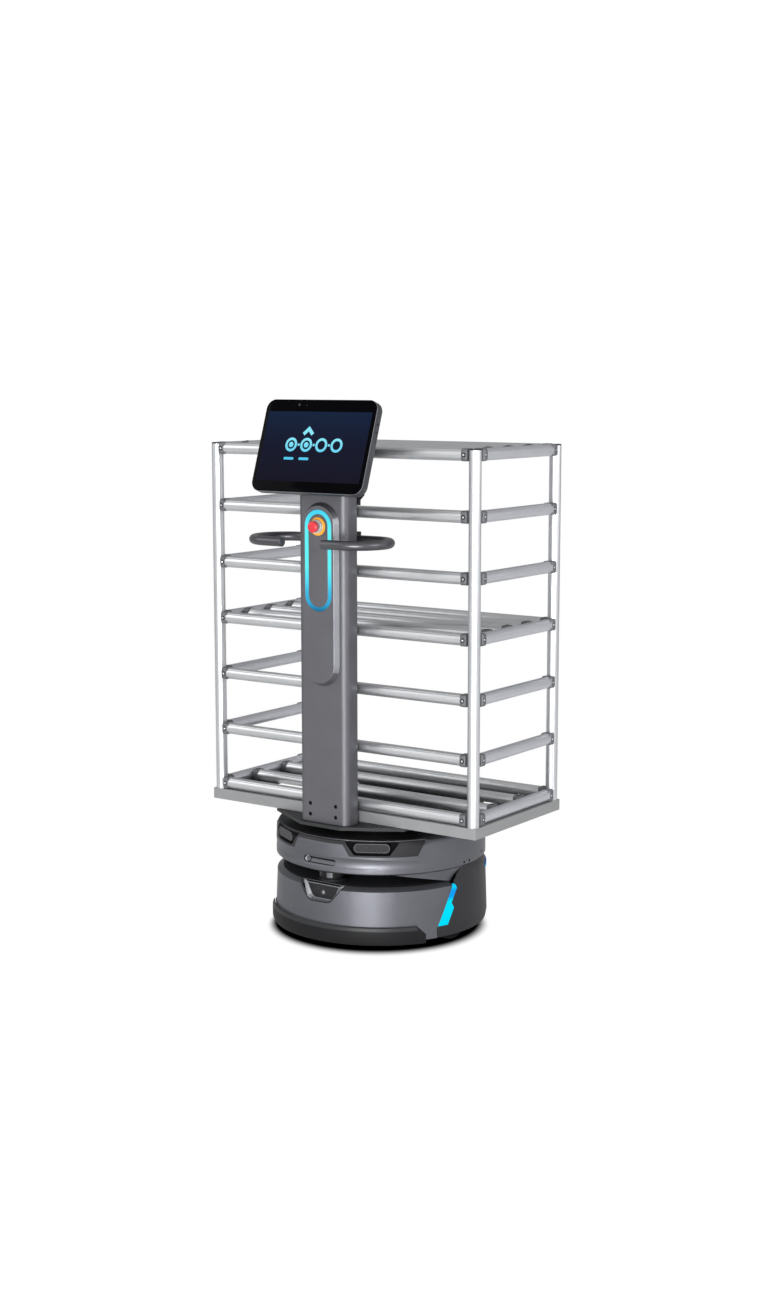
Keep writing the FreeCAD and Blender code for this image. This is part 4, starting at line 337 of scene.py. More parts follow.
def finishPiece(bm, name, finish, body, slot, *replaced, smooth=35, bevel=0.0, segments=2):
    bmesh.ops.scale(bm, vec=(0.001, 0.001, 0.001), verts=bm.verts)
    mesh = bpy.data.meshes.new(name)
    bm.to_mesh(mesh)
    bm.free()
    mesh.materials.append(finishes[finish])
    mesh.shade_smooth()
    mesh.set_sharp_from_angle(angle=math.radians(smooth))
    piece = bpy.data.objects.new(name, mesh)
    scene.collection.objects.link(piece)
    if bevel:
        edging = piece.modifiers.new("edges", "BEVEL")
        edging.limit_method = "ANGLE"
        edging.angle_limit = math.radians(32)
        edging.width = bevel / 1000
        edging.segments = segments
        edging.profile = 0.5
        evening = piece.modifiers.new("normals", "WEIGHTED_NORMAL")
        evening.keep_sharp = True
    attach(piece, body)
    if replaced:
        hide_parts(*replaced)
    return piece


def bodyOf(node):
    return cadNodes[node]["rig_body"]


def nodeMesh(node, angle):
    bm = newMesh()
    bm.from_mesh(cadNodes[node].data)
    bmesh.ops.scale(bm, vec=(1000, 1000, 1000), verts=bm.verts)
    bmesh.ops.remove_doubles(bm, verts=bm.verts, dist=0.004)
    bmesh.ops.dissolve_limit(bm, angle_limit=math.radians(angle), verts=bm.verts, edges=bm.edges)
    return bm


def repaint(piece, finish, test):
    # A second finish on the faces that the test picks, in millimetres
    piece.data.materials.append(finishes[finish])
    for face in piece.data.polygons:
        if test(face.center * 1000, face.normal):
            face.material_index = len(piece.data.materials) - 1


def softCopy(node, finish, slot, bevel=0.8, segments=2, angle=0.6, smooth=30, shape=None):
    # The node's own solid with its edges eased
    bm = nodeMesh(node, angle)
    if shape:
        shape(bm)
    return finishPiece(bm, node + "_dressed", finish, bodyOf(node), slot, node, smooth=smooth,
                       bevel=bevel, segments=segments)


def dress(finish, *names):
    for name in names:
        data = cadNodes[name].data
        data.materials.clear()
        data.materials.append(finishes[finish])


# Rack of aluminium pipe

rack = {
    "postX": 370, "frontY": -131.5, "rearY": 218.5, "foot": 326, "top": 1177,
    "pipeRadius": 14, "grooveDepth": 0.6, "grooveHalf": 3.2, "wall": 1.6,
    "level": 341, "levels": 7, "pitch": 137.58, "slatSpaces": {0: 3, 3: 4, 6: 4},
    "joint": 15, "jointHalf": 14.3, "jointBevel": 5.5, "boltSink": 0.95,
}


def pipeRing():
    # One ring of pipe wall: a circle with four shallow grooves on its diagonals
    bm = newMesh()
    made = bmesh.ops.create_circle(bm, cap_ends=False, segments=64, radius=rack["pipeRadius"])
    for vert in made["verts"]:
        angle = math.degrees(math.atan2(vert.co.y, vert.co.x)) % 90
        if abs(angle - 45) < rack["grooveHalf"]:
            vert.co *= 1 - rack["grooveDepth"] / rack["pipeRadius"]
    return bm


def pipe(length):
    # A length of pipe up from the origin, open at both ends
    bm = pipeRing()
    made = bmesh.ops.extrude_edge_only(bm, edges=bm.edges[:])
    bmesh.ops.translate(bm, vec=(0, 0, length), verts=vertsOf(made))
    bmesh.ops.recalc_face_normals(bm, faces=bm.faces)
    made = bmesh.ops.extrude_edge_only(bm, edges=[e for e in bm.edges if len(e.link_faces) == 1])
    share = 1 - rack["wall"] / rack["pipeRadius"]
    bmesh.ops.scale(bm, vec=(share, share, 1), verts=vertsOf(made))
    return bm


acrossX = turn(90, "Y")
acrossY = turn(-90, "X")


def railX(y, z):
    reach = rack["postX"] - rack["pipeRadius"] - rack["joint"]
    return moved(pipe(2 * reach), at(-reach, y, z) @ acrossX)


def slatPlaces(level):
    # Where a shelf's inner pipes stand between its front and rear rail
    spaces = rack["slatSpaces"][level]
    return [rack["frontY"] + (rack["rearY"] - rack["frontY"]) * step / spaces for step in range(1, spaces)]


def buildRack():
    posts, fronts, rears, sides, slats = [], [], [], [], []
    for x in (-rack["postX"], rack["postX"]):
        for y in (rack["frontY"], rack["rearY"]):
            posts.append(moved(pipe(rack["top"] - rack["foot"]), at(x, y, rack["foot"])))
    start = rack["frontY"] + rack["pipeRadius"] + rack["joint"]
    run = rack["rearY"] - rack["frontY"] - 2 * (rack["pipeRadius"] + rack["joint"])
    for level in range(rack["levels"]):
        z = rack["level"] + level * rack["pitch"]
        fronts.append(railX(rack["frontY"], z))
        for x in (-rack["postX"], rack["postX"]):
            sides.append(moved(pipe(run), at(x, start, z) @ acrossY))
        if level in rack["slatSpaces"]:
            rears.append(railX(rack["rearY"], z))
            slats += [railX(y, z) for y in slatPlaces(level)]
    for node, parts, finish in (("rack_posts", posts, "aluminium"), ("front_rails", fronts, "aluminiumX"),
                                ("rear_rails", rears, "aluminiumX"), ("side_rails", sides, "aluminiumY"),
                                ("shelf_slats", slats, "aluminiumX")):
        finishPiece(joined(*parts), node + "_dressed", finish, bodyOf(node), "aluminium", node)


def jointBody():
    # A square block with rounded corners along +Z, from the post's side to the rail's end
    half, bevel, length = rack["jointHalf"], rack["jointBevel"], rack["joint"]
    face = outlineFace(rectangle(half, half), bevel, 4)
    body = moved(thick(face, length), turn(90, "X") @ turn(180, "Z"))
    bevelEdges(body, 1.0)
    low = min(v.co.z for v in body.verts)
    return moved(body, at(0, 0, -low))


bolt = {"hole": 2.9, "ring": 5.0, "ringHigh": 1.0, "head": 2.8, "headHigh": 1.6, "socket": 1.4, "floor": 0.6}


def boltHead():
    # Socket screw in a dark ring, facing +X
    hole, rim, high = bolt["hole"], bolt["ring"], bolt["ringHigh"]
    ring = spun(((hole, 0), (rim, 0), (rim, high - 0.3), (rim - 0.5, high), (hole + 0.4, high),
                 (hole, high - 0.3)), 24)
    wide, top, socket, floor = bolt["head"], bolt["headHigh"], bolt["socket"], bolt["floor"]
    head = spun(((0, 0), (wide, 0), (wide, top - 0.4), (wide - 0.5, top), (socket + 0.1, top), (socket, floor),
                 (0, floor)), 24, closed=False)
    return moved(ring, acrossX), moved(head, acrossX)


def buildJoints():
    bodies, rings, heads = [], [], []
    post, half, length = rack["pipeRadius"], rack["jointHalf"], rack["joint"]

    def addJoint(place, boltPlace):
        bodies.append(moved(jointBody(), place))
        ring, head = boltHead()
        rings.append(moved(ring, boltPlace))
        heads.append(moved(head, boltPlace))

    for level in range(rack["levels"]):
        z = rack["level"] + level * rack["pitch"]
        rails = [(rack["frontY"], -90)]
        if level in rack["slatSpaces"]:
            rails += [(rack["rearY"], 90)] + [(y, None) for y in slatPlaces(level)]
        for y, angle in rails:
            for sign in (-1, 1):
                place = at(sign * (rack["postX"] - post), y, z) @ (acrossX if sign < 0 else turn(-90, "Y"))
                boltX = sign * (rack["postX"] - post - length / 2)
                if angle is None:
                    spot = at(boltX, y, z + half) @ turn(-90, "Y")
                else:
                    spot = at(boltX, y + math.copysign(half, angle), z) @ turn(angle, "Z")
                addJoint(place, spot)
        for sign in (-1, 1):
            for y, way in ((rack["frontY"] + post, 1), (rack["rearY"] - post, -1)):
                spot = at(sign * (rack["postX"] + half - rack["boltSink"]), y + way * length / 2, z)
                addJoint(at(sign * rack["postX"], y, z) @ turn(-90 * way, "X"),
                         spot @ turn(0 if sign > 0 else 180, "Z"))
    finishPiece(joined(*bodies), "pipe_joints_dressed", "jointMetal", bodyOf("pipe_joints"), "joint_metal",
                "pipe_joints")
    finishPiece(joined(*rings), "joint_bolt_rings", "blackPartsAndShade", bodyOf("pipe_joints"), "dark_plastic")
    finishPiece(joined(*heads), "joint_bolts", "boltSteel", bodyOf("pipe_joints"), "steel")


buildRack()
buildJoints()
softCopy("post_caps", "capPlastic", "dark_plastic", bevel=1.0)
softCopy("tray", "trayMetal", "grey_paint", bevel=0.9)
print("rack made")


# Chassis shells and ring

softCopy("front_shell", "silverShell", "silver_shell", bevel=1.2, segments=3)
softCopy("rear_shell", "charcoalShell", "charcoal_shell", bevel=1.0)
scoop = {"low": 199, "high": 229, "wall": 256, "inner": 243, "keep": 0.4}


def softenScoop(bm):
    # The scoop in the ring's front is made shallow, so that its edges blend into the wall
    for vert in bm.verts:
        radius = math.hypot(vert.co.x, vert.co.y - axisY)
        if scoop["low"] < vert.co.z < scoop["high"] and scoop["inner"] < radius < scoop["wall"] - 0.1:
            wider = (scoop["wall"] - (scoop["wall"] - radius) * scoop["keep"]) / radius
            vert.co.x *= wider
            vert.co.y = axisY + (vert.co.y - axisY) * wider


# Where a second finish begins: heights for the painted shade on the ring's top and the painted light on the
# bumper's slant, and the way back to the tail lights
begins = {"ringTop": 268, "bumperSlant": 55, "tailLights": 60}
upperRing = softCopy("upper_ring", "silverShell", "silver_shell", bevel=0.5, smooth=38, angle=0.05,
                     shape=softenScoop)
# The ring's flat top is painted darker: painted shade under the deck plate
repaint(upperRing, "ringTopShade", lambda middle, normal: middle.z > begins["ringTop"] and normal.z > 0.8)
# The ring's downward faces over the gap are painted near-black: painted shade under the ring
repaint(upperRing, "blackPartsAndShade", lambda middle, normal: normal.z < -0.8)
bumper = softCopy("front_bumper", "bumperRubber", "black_rubber", bevel=0.7)
# The bumper's upward slant is painted lighter: painted light on the faces that look up
repaint(bumper, "bumperSlant", lambda middle, normal: middle.z > begins["bumperSlant"] and normal.z > 0.1)
deckPlate = softCopy("deck_plate", "deckPaint", "black_metal", bevel=0.4)
repaint(deckPlate, "deckEdge", lambda middle, normal: abs(normal.z) < 0.5)
softCopy("gap_shroud", "blackPartsAndShade", "dark_plastic", bevel=0.5)
softCopy("top_cover", "darkPlastic", "dark_plastic", bevel=0.8)
lights = softCopy("status_lights", "sideGlow", "cyan_light", bevel=0.4)
repaint(lights, "tailGlow", lambda middle, normal: middle.y > begins["tailLights"])
softCopy("charge_contacts", "brass", "brass", bevel=0.5)
softCopy("power_button", "steel", "steel", bevel=0.6)
softCopy("base_plate", "darkPlastic", "black_metal", bevel=0.5)

depthCamera = {"angle": 30.4, "height": 253, "radius": 11.5, "half": 31.5, "depth": 24.4, "face": 251.5,
               "line": 0.9, "margin": 1.0, "floor": 241}


def onPitFloor(middle, normal):
    for sign in (-1, 1):
        angle = math.radians(sign * depthCamera["angle"])
        outward = Vector((math.sin(angle), -math.cos(angle), 0))
        depth = (middle - Vector((0, axisY, 0))).dot(outward)
        if abs(depth - depthCamera["floor"]) < 1 and normal.dot(outward) > 0.99:
            return True
    return False


def buildDepthCameras():
    # Each camera stands in its recess: a body, a thin pale outline and a smoked glass
    visor = softCopy("visor", "charcoalShell", "black_gloss", bevel=0.5, angle=0.02)
    # The pit floors are painted near-black: painted shade at the bottom of the camera recesses
    repaint(visor, "blackPartsAndShade", onPitFloor)
    bodies, lines, glasses = [], [], []
    front = axisY - depthCamera["face"]
    z = depthCamera["height"]
    radius, half, line = depthCamera["radius"], depthCamera["half"], depthCamera["line"]
    inner = radius - depthCamera["margin"]
    for sign in (-1, 1):
        place = facing(sign * depthCamera["angle"])
        bodies.append(moved(lyingStadium(radius, half, depthCamera["depth"], front + 0.6, z), place))
        rim = rimOnly(outlineFace(rectangle(half + inner, inner, 0, z), inner, 16), line)
        lines.append(moved(thick(rim, 0.8), place @ at(0, front + 0.1, 0)))
        glasses.append(moved(lyingStadium(inner - line, half, 0.5, front + 0.3, z), place))
    finishPiece(joined(*bodies), "depth_cameras_dressed", "darkPlastic", bodyOf("depth_cameras"), "black_gloss",
                "depth_cameras", bevel=0.6)
    finishPiece(joined(*lines), "depth_camera_lines", "trimLine", bodyOf("depth_cameras"), "steel")
    finishPiece(joined(*glasses), "depth_camera_glass", "smokedGlass", bodyOf("depth_cameras"), "black_gloss")


shell = {"footZ": 30, "footRadius": 259, "slope": 5 / 118, "shoulder": 148, "turnIn": 14, "turnHigh": 9}


def shellSkin(x, z):
    # Y of the front shell, which leans in to its shoulder, then turns in to the gap's floor
    radius = shell["footRadius"] - (min(z, shell["shoulder"]) - shell["footZ"]) * shell["slope"]
    radius -= max(0, z - shell["shoulder"]) * shell["turnIn"] / shell["turnHigh"]
    return axisY - math.sqrt(radius ** 2 - x ** 2)


frontCamera = {"foot": 116, "top": 152.5, "footHalf": 31, "topHalf": 48, "corner": 10, "face": -206.5,
               "line": 1.7, "lens": 132.5}
cameraMouth = {"foot": 116.2, "top": 158, "footHalf": 30, "topHalf": 63.6, "corner": 10}


def cameraOutline(look, segments=8):
    # An outline that narrows to its foot, with the foot's corners rounded
    face = outlineFace(((-look["footHalf"], look["foot"]), (look["footHalf"], look["foot"]),
                        (look["topHalf"], look["top"]), (-look["topHalf"], look["top"])))
    low = [v for v in face.verts if v.co.z < look["foot"] + 1]
    bmesh.ops.bevel(face, geom=low, offset=look["corner"], segments=segments, profile=0.5, affect="VERTICES",
                    material=-1, clamp_overlap=True)
    return face


def cameraFunnel():
    # Walls from the shell's own surface in to the window's edge
    ends = []
    for look in (cameraMouth, frontCamera):
        face = cameraOutline(look)
        ends.append([v.co.copy() for v in face.faces[:][0].verts])
        face.free()
    near, far = ends
    count = len(near)
    shift = min(range(count), key=lambda start: sum((far[(step + start) % count] - near[step]).length
                                                    for step in range(count)))
    back = frontCamera["face"] + 1
    bm = newMesh()
    rows = []
    for share in (0, 0.25, 0.5, 0.75, 1):
        row = []
        for step, outside in enumerate(near):
            inside = far[(step + shift) % count]
            skin = shellSkin(outside.x, outside.z) + 0.2
            row.append(bm.verts.new((outside.x + (inside.x - outside.x) * share, skin + (back - skin) * share,
                                     outside.z + (inside.z - outside.z) * share)))
        rows.append(row)
    bridgeRows(bm, rows)
    bmesh.ops.recalc_face_normals(bm, faces=bm.faces)
    if sum(f.normal.y * f.calc_area() for f in bm.faces) > 0:
        bmesh.ops.reverse_faces(bm, faces=bm.faces)
    return bm


def buildFrontCamera():
    # A pale frame line, a dark pane and a lens with a painted pale glint in its middle, at the end of a silver
    # funnel whose silver is painted lighter as light on its walls
    body, front = bodyOf("camera_window"), frontCamera["face"]
    # The funnel's silver is painted lighter than the shell: painted light on its walls
    funnel = finishPiece(cameraFunnel(), "camera_bezel_dressed", "bezelSilverLit", bodyOf("camera_bezel"),
                         "silver_shell", "camera_bezel", smooth=30)
    # The funnel's side walls are painted pale: painted highlights
    repaint(funnel, "paleHighlight", lambda middle, normal: abs(middle.x) > 30 and abs(normal.x) > 0.3)
    # The funnel's top wall is painted near-black: painted shade
    repaint(funnel, "blackPartsAndShade", lambda middle, normal: middle.z > frontCamera["top"] + 0.2)
    pane = cameraOutline(frontCamera)
    rim = rimOnly(pane.copy(), frontCamera["line"])
    finishPiece(moved(thick(pane, 2.4), at(0, front + 0.5, 0)), "camera_window_dressed", "smokedGlass", body,
                "black_gloss", "camera_window")
    finishPiece(moved(thick(rim, 1.0), at(0, front - 0.2, 0)), "camera_window_line", "frameLine", body, "steel")
    place = at(0, front + 0.5, frontCamera["lens"]) @ turn(90, "X")
    barrel = spun(((2.6, 0), (5.4, 0), (5.4, 0.5), (4.8, 0.9), (3.2, 0.5), (2.6, 0.2)), 40)
    finishPiece(moved(barrel, place), "camera_lens_ring", "casterGrey", body, "black_gloss")
    # The lens's pale middle is a painted glint
    dot = spun(((0, 0), (2.3, 0), (1.8, 0.5), (1.0, 0.8), (0, 0.9)), 32, closed=False)
    finishPiece(moved(dot, place), "camera_lens_glint", "paleHighlight", body, "black_gloss", smooth=60)


gasket = {"foot": 114, "top": 156, "footHalf": 32, "topHalf": 66, "corner": 9, "width": 2.4}


def buildGasket():
    # A dark lip on the shell round the camera's recess, bent to the shell and open at its top
    lip = cameraOutline(gasket, 6)
    bmesh.ops.subdivide_edges(lip, edges=[e for e in lip.edges if e.calc_length() > 12], cuts=11)
    rimOnly(lip, gasket["width"])
    top = [f for f in lip.faces if all(v.co.z > gasket["top"] - 2.5 for v in f.verts)]
    bmesh.ops.delete(lip, geom=top, context="FACES")
    thick(lip, 1.0)
    for vert in lip.verts:
        vert.co.y += shellSkin(vert.co.x, vert.co.z) - 0.25
    finishPiece(lip, "camera_gasket", "darkPlastic", bodyOf("front_shell"), "dark_plastic", smooth=60)


rangeSensor = {"radius": 7.5, "half": 38.5, "z": 213, "face": -213.5, "depth": 8.6, "lean": 6.4, "proud": 4.2,
               "strip": 3.6, "stripDrop": 3.8, "crescentTurn": 66}


def buildRangeSensor():
    # A silver slot whose floor leans back under a black strip of painted shadow, with a painted highlight crescent
    # at one end
    radius, half, z, face = rangeSensor["radius"], rangeSensor["half"], rangeSensor["z"], rangeSensor["face"]
    body = bodyOf("range_window")
    plate = lyingStadium(radius, half, rangeSensor["depth"], face + 0.4, z)
    for vert in plate.verts:
        if vert.co.y < face + 1:
            vert.co.y += rangeSensor["lean"] * (vert.co.z - z + radius) / (2 * radius) - rangeSensor["proud"]
    finishPiece(plate, "range_window_dressed", "silverShell", body, "black_gloss", "range_window", bevel=0.5)
    # The black strip is painted shadow under the slot's upper edge
    strip = lyingStadium(rangeSensor["strip"], half - 2, 1.6, face - 0.3, z + radius - rangeSensor["stripDrop"])
    finishPiece(moved(strip, at(3, 0, 0)), "range_strip", "stripShadowBlack", body, "black_gloss")
    # A pale disc trimmed to a crescent by a silver one: a painted highlight on the slot's rounded end
    for name, finish, x, across, out in (("range_end_highlight", "paleHighlight", -half, radius - 0.8, 2.4),
                                         ("range_highlight_trim", "silverShell", -half + 3.4, radius - 1.2, 2.8)):
        end = spun(((0, 0), (across, 0), (across - 0.3, 0.5), (0, 0.6)), 40, closed=False)
        place = at(x, face - out, z - 0.6) @ turn(rangeSensor["crescentTurn"], "X")
        finishPiece(moved(end, place), name, finish, body, "silver_shell")


bumperSeal = {"half": 55, "inside": 256.6, "outside": 261.1, "travel": 2.1, "low": 61.5, "high": 65.6,
              "steps": 60}


def buildBumperSeal():
    # A dark lip on the shell that fills the gap behind the bumper's upper edge, clear of its travel
    look = bumperSeal
    bm = newMesh()
    rows = []
    for step in range(look["steps"] + 1):
        angle = math.radians(look["half"] * (2 * step / look["steps"] - 1))
        rows.append([bm.verts.new((radius * math.sin(angle), axisY + shift - radius * math.cos(angle), z))
                     for radius, shift, z in ((look["inside"], 0, look["low"]), (look["inside"], 0, look["high"]),
                                              (look["outside"], look["travel"], look["high"]),
                                              (look["outside"], look["travel"], look["low"]))])
    bridgeRows(bm, rows)
    bm.faces.new(rows[0])
    bm.faces.new(rows[-1])
    bmesh.ops.recalc_face_normals(bm, faces=bm.faces)
    finishPiece(bm, "bumper_seal", "casterGrey", bodyOf("front_shell"), "dark_plastic")


buildFrontCamera()
buildGasket()
buildBumperSeal()
buildRangeSensor()
buildDepthCameras()

screws = {"radius": 2.9, "wall": 256, "places": ((85.7, 198), (90.5, 198), (106.7, 204))}


def buildScrews():
    front = axisY - screws["wall"] + 0.25
    heads = [moved(disc(screws["radius"], 0.5, 24, 0.15), facing(angle) @ at(0, front, z))
             for angle, z in screws["places"]]
    finishPiece(joined(*heads), "ring_screws", "blackPartsAndShade", bodyOf("upper_ring"), "dark_plastic")


scanner = {"y": -165.5, "foot": 163.3, "body": 20, "top": 188.6, "radius": 35, "arcs": ((24, -82), (10, -126))}


def buildScanner():
    # The turning head: a skirt, a dark window band with two paler arcs that are painted reflections, a cap and a
    # neck
    foot, top, radius = scanner["foot"], scanner["foot"] + scanner["body"], scanner["radius"]
    head = spun(((0, foot), (radius - 0.6, foot), (radius, foot + 0.6), (radius, foot + 3),
                 (radius - 0.7, foot + 3.6), (radius - 0.7, top - 3.6), (radius, top - 3), (radius, top - 1.4),
                 (radius - 1.4, top), (6, top), (6, scanner["top"]), (0, scanner["top"])), 96, closed=False)
    finishPiece(moved(head, at(0, scanner["y"], 0)), "lidar_head_dressed", "scannerGloss", bodyOf("lidar_head"),
                "black_gloss", "lidar_head", smooth=28)
    low, high = foot + 4, top - 4
    arcs = []
    for angle, start in scanner["arcs"]:
        arc = spun(((radius - 1.5, low), (radius - 0.55, low), (radius - 0.55, high), (radius - 1.5, high)), 24,
                   angle=angle)
        bmesh.ops.holes_fill(arc, edges=[e for e in arc.edges if len(e.link_faces) == 1])
        bmesh.ops.recalc_face_normals(arc, faces=arc.faces)
        arcs.append(moved(arc, at(0, scanner["y"], 0) @ turn(start, "Z")))
    # The paler arcs are painted reflections on the glossy head
    finishPiece(joined(*arcs), "lidar_reflection_arcs", "scannerReflection", bodyOf("lidar_head"), "black_gloss")
    softCopy("lidar_base", "darkPlastic", "dark_plastic", bevel=0.6)


buildScrews()
buildScanner()
print("chassis made")


# Mast, panel, light ring and emergency stop

softCopy("mast_tube", "mastPaint", "silver_paint", bevel=0.8)
panel = softCopy("mast_panel", "mastPaint", "silver_paint", bevel=1.0, segments=3)
# The panel's side flanks are painted lighter: a painted highlight
repaint(panel, "flankHighlight", lambda middle, normal: abs(normal.x) > 0.8 and -0.7 < normal.y < -0.3)
softCopy("light_ring", "ringGlow", "cyan_light", bevel=0.5)

grommets = {"x": 37, "heights": (17.7, 43.7), "deckTop": 300, "face": -206, "hole": 3.1, "seat": 3.75,
            "lip": 4.7, "sunk": 4}


def buildGrommets():
    made = []
    hole, seat, lip, sunk = grommets["hole"], grommets["seat"], grommets["lip"], grommets["sunk"]
    for x in (-grommets["x"], grommets["x"]):
        for height in grommets["heights"]:
            ring = spun(((hole, -sunk), (seat, -sunk), (seat, 0), (lip, 0), (lip - 0.3, 0.4), (hole, 0.4)), 32)
            made.append(moved(ring, at(x, grommets["face"], grommets["deckTop"] + height) @ turn(90, "X")))
    finishPiece(joined(*made), "mast_grommets", "blackPartsAndShade", bodyOf("mast_tube"), "dark_plastic")


buildGrommets()

stop = {"z": 998, "face": -219, "flange": 21, "flangeHigh": 2, "collar": 15.5, "collarHigh": 10, "bore": 7.1,
        "barrel": 11, "sunk": 20, "head": 13, "stem": 7.05, "clear": 4.3}


def buildStop():
    def standing(profile):
        # Profile heights run out of the panel's face, towards -Y
        return moved(spun(profile, 72, closed=False), at(0, stop["face"], stop["z"]) @ turn(90, "X"))

    outer, wide, length = stop["flange"], stop["collar"], stop["collarHigh"]
    bore, barrel, sunk = stop["bore"], stop["barrel"], stop["sunk"]
    flange = standing(((0, 0), (outer, 0), (outer, 1.2), (outer - 0.8, stop["flangeHigh"]),
                       (wide, stop["flangeHigh"])))
    finishPiece(flange, "stop_flange", "stopYellow", bodyOf("estop_collar"), "brass")
    collar = standing(((bore, -sunk), (barrel, -sunk), (barrel, 0), (wide, 0.1), (wide, 3.4), (wide - 0.9, 3.8),
                       (wide - 0.9, 5.0), (wide, 5.4), (wide, 8.9), (wide - 1.1, length), (bore, length)))
    finishPiece(collar, "estop_collar_dressed", "collarSilver", bodyOf("estop_collar"), "steel", "estop_collar",
                smooth=28)
    # The head: flared skirt and shallow crown, with room to be pressed in
    base, wide = length + stop["clear"], stop["head"]
    head = standing(((stop["stem"], base), (wide - 1.6, base), (wide, base + 1.6), (wide, base + 6.4),
                     (wide - 0.8, base + 8.6), (9.6, base + 9.7), (5.6, base + 10), (3, base + 9.7),
                     (0, base + 9.6)))
    finishPiece(head, "estop_head_dressed", "stopRed", bodyOf("estop_head"), "red_plastic", "estop_head",
                smooth=50)
    softCopy("estop_plunger", "steel", "steel", bevel=0.5)


buildStop()
print("mast made")


# Handlebar

bar = {"front": -278.5, "rear": -135.5, "z": 964, "bendX": 106.5, "endX": 57.6, "radius": 10.98,
       "plug": 9.2, "plugHigh": 0.8, "plugOut": 0.75}


def barHalf(sign):
    # From the middle of the rear run round the bend to the free end
    bm = newMesh()
    bmesh.ops.create_circle(bm, cap_ends=False, segments=40, radius=bar["radius"])
    moved(bm, at(0, bar["rear"], bar["z"]) @ turn(90, "Y"))

    def run(edges, distance, x):
        made = bmesh.ops.extrude_edge_only(bm, edges=edges)
        bmesh.ops.translate(bm, vec=(distance, 0, 0), verts=vertsOf(made))
        return [item for item in made["geom"] if isinstance(item, bmesh.types.BMEdge)
                and all(abs(v.co.x - x) < 0.01 for v in item.verts)]

    ring = run(bm.edges[:], sign * bar["bendX"], sign * bar["bendX"])
    middle = (sign * bar["bendX"], (bar["front"] + bar["rear"]) / 2, bar["z"])
    made = bmesh.ops.spin(bm, geom=list({v for e in ring for v in e.verts}) + ring, cent=middle, axis=(0, 0, 1),
                          angle=-sign * math.pi, steps=48, use_merge=False)["geom_last"]
    ring = [item for item in made if isinstance(item, bmesh.types.BMEdge)]
    ring = run(ring, -sign * (bar["bendX"] - bar["endX"]), sign * bar["endX"])
    cap = bmesh.ops.contextual_create(bm, geom=ring)["faces"]
    for width, depth in ((1.6, 0), (0.4, -0.8)):
        bmesh.ops.inset_region(bm, faces=cap, thickness=width, depth=depth, use_boundary=True,
                               use_even_offset=True)
    return bm


def buildHandle():
    whole = joined(barHalf(-1), barHalf(1))
    bmesh.ops.remove_doubles(whole, verts=whole.verts, dist=0.01)
    bmesh.ops.recalc_face_normals(whole, faces=whole.faces)
    plugs = []
    wide, high = bar["plug"], bar["plugHigh"]
    for sign in (-1, 1):
        plug = spun(((0, 0), (wide, 0), (wide, high - 0.3), (wide - 0.6, high), (0, high)), 40, closed=False)
        place = at(sign * (bar["endX"] + bar["plugOut"]), bar["front"], bar["z"]) @ turn(-sign * 90, "Y")
        plugs.append(moved(plug, place))
    finishPiece(joined(*plugs), "handlebar_plugs", "barPlug", bodyOf("handlebar"), "dark_plastic")
    finishPiece(whole, "handlebar_dressed", "barCoat", bodyOf("handlebar"), "dark_coat", "handlebar", smooth=40)
    softCopy("handle_clamps", "darkPlastic", "dark_plastic", bevel=1.2)


buildHandle()
print("handlebar made")


# Tablet

tablet = {"place": (0, -234.8, 1180), "tilt": 18.95, "halfX": 157.5, "low": -108.2, "high": 111.8, "corner": 24,
          "depth": 26, "displayX": 147, "displayZ": 82.7, "glass": 1.6, "glassMargin": 0.6, "edge": 1.2,
          "edgeBack": 1.4,
          "lenses": ((3.0, 32, -62.7, 98.6), (1.3, 24, -41.4, 98.1)),
          "portRadius": 1.9, "sidePorts": (40, 58.5), "footPorts": (-117, -63.4)}
tabletFrame = at(*tablet["place"]) @ turn(-tablet["tilt"], "X")


def tabletOutline(shrink=0.0):
    right, low, high = tablet["halfX"] - shrink, tablet["low"] + shrink, tablet["high"] - shrink
    return outlineFace(((-right, low), (right, low), (right, high), (-right, high)), tablet["corner"] - shrink, 12)


def buildTablet():
    body = bodyOf("tablet_glass")
    glass = thick(tabletOutline(tablet["glassMargin"]), tablet["glass"])
    bevelEdges(glass, 0.5)
    finishPiece(moved(glass, tabletFrame), "tablet_glass_dressed", "tabletGlass", body, "screen_glass",
                "tablet_glass")
    edge = thick(tabletOutline(), tablet["edge"])
    bevelEdges(edge, 0.3)
    finishPiece(moved(edge, tabletFrame @ at(0, tablet["edgeBack"], 0)), "tablet_edge_line", "tabletEdge", body,
                "dark_plastic")
    softCopy("tablet_shell", "tabletShell", "dark_plastic", bevel=0.8)
    display = thick(outlineFace(rectangle(tablet["displayX"], tablet["displayZ"]), 1.0, 2), 0.4)
    finishPiece(moved(display, tabletFrame @ at(0, -0.05, 0)), "tablet_display_dressed", "displayGlow", body,
                "screen", "tablet_display")
    softCopy("tablet_key", "tabletShell", "dark_plastic", bevel=0.5)
    softCopy("tablet_yoke", "yokePaint", "black_metal", bevel=0.9)
    marks = [moved(disc(radius, 0.3, steps), tabletFrame @ at(x, 0.05, z))
             for radius, steps, x, z in tablet["lenses"]]
    finishPiece(joined(*marks), "tablet_lens", "smokedGlass", body, "black_gloss")
    middle = tablet["depth"] / 2
    places = [at(tablet["halfX"], middle, z) @ turn(90, "Z") for z in tablet["sidePorts"]]
    places += [at(x, middle, tablet["low"]) @ turn(90, "X") for x in tablet["footPorts"]]
    # Dark discs for the port openings: painted shade inside the ports
    ports = [moved(disc(tablet["portRadius"], 0.3, 24), tabletFrame @ place) for place in places]
    finishPiece(joined(*ports), "tablet_ports", "blackPartsAndShade", bodyOf("tablet_shell"), "black_gloss")


graphic = {"z": 4, "line": 5.4, "stops": (-64, -21, 22, 65), "ring": 16.5, "rim": 6, "dot": 6.4}


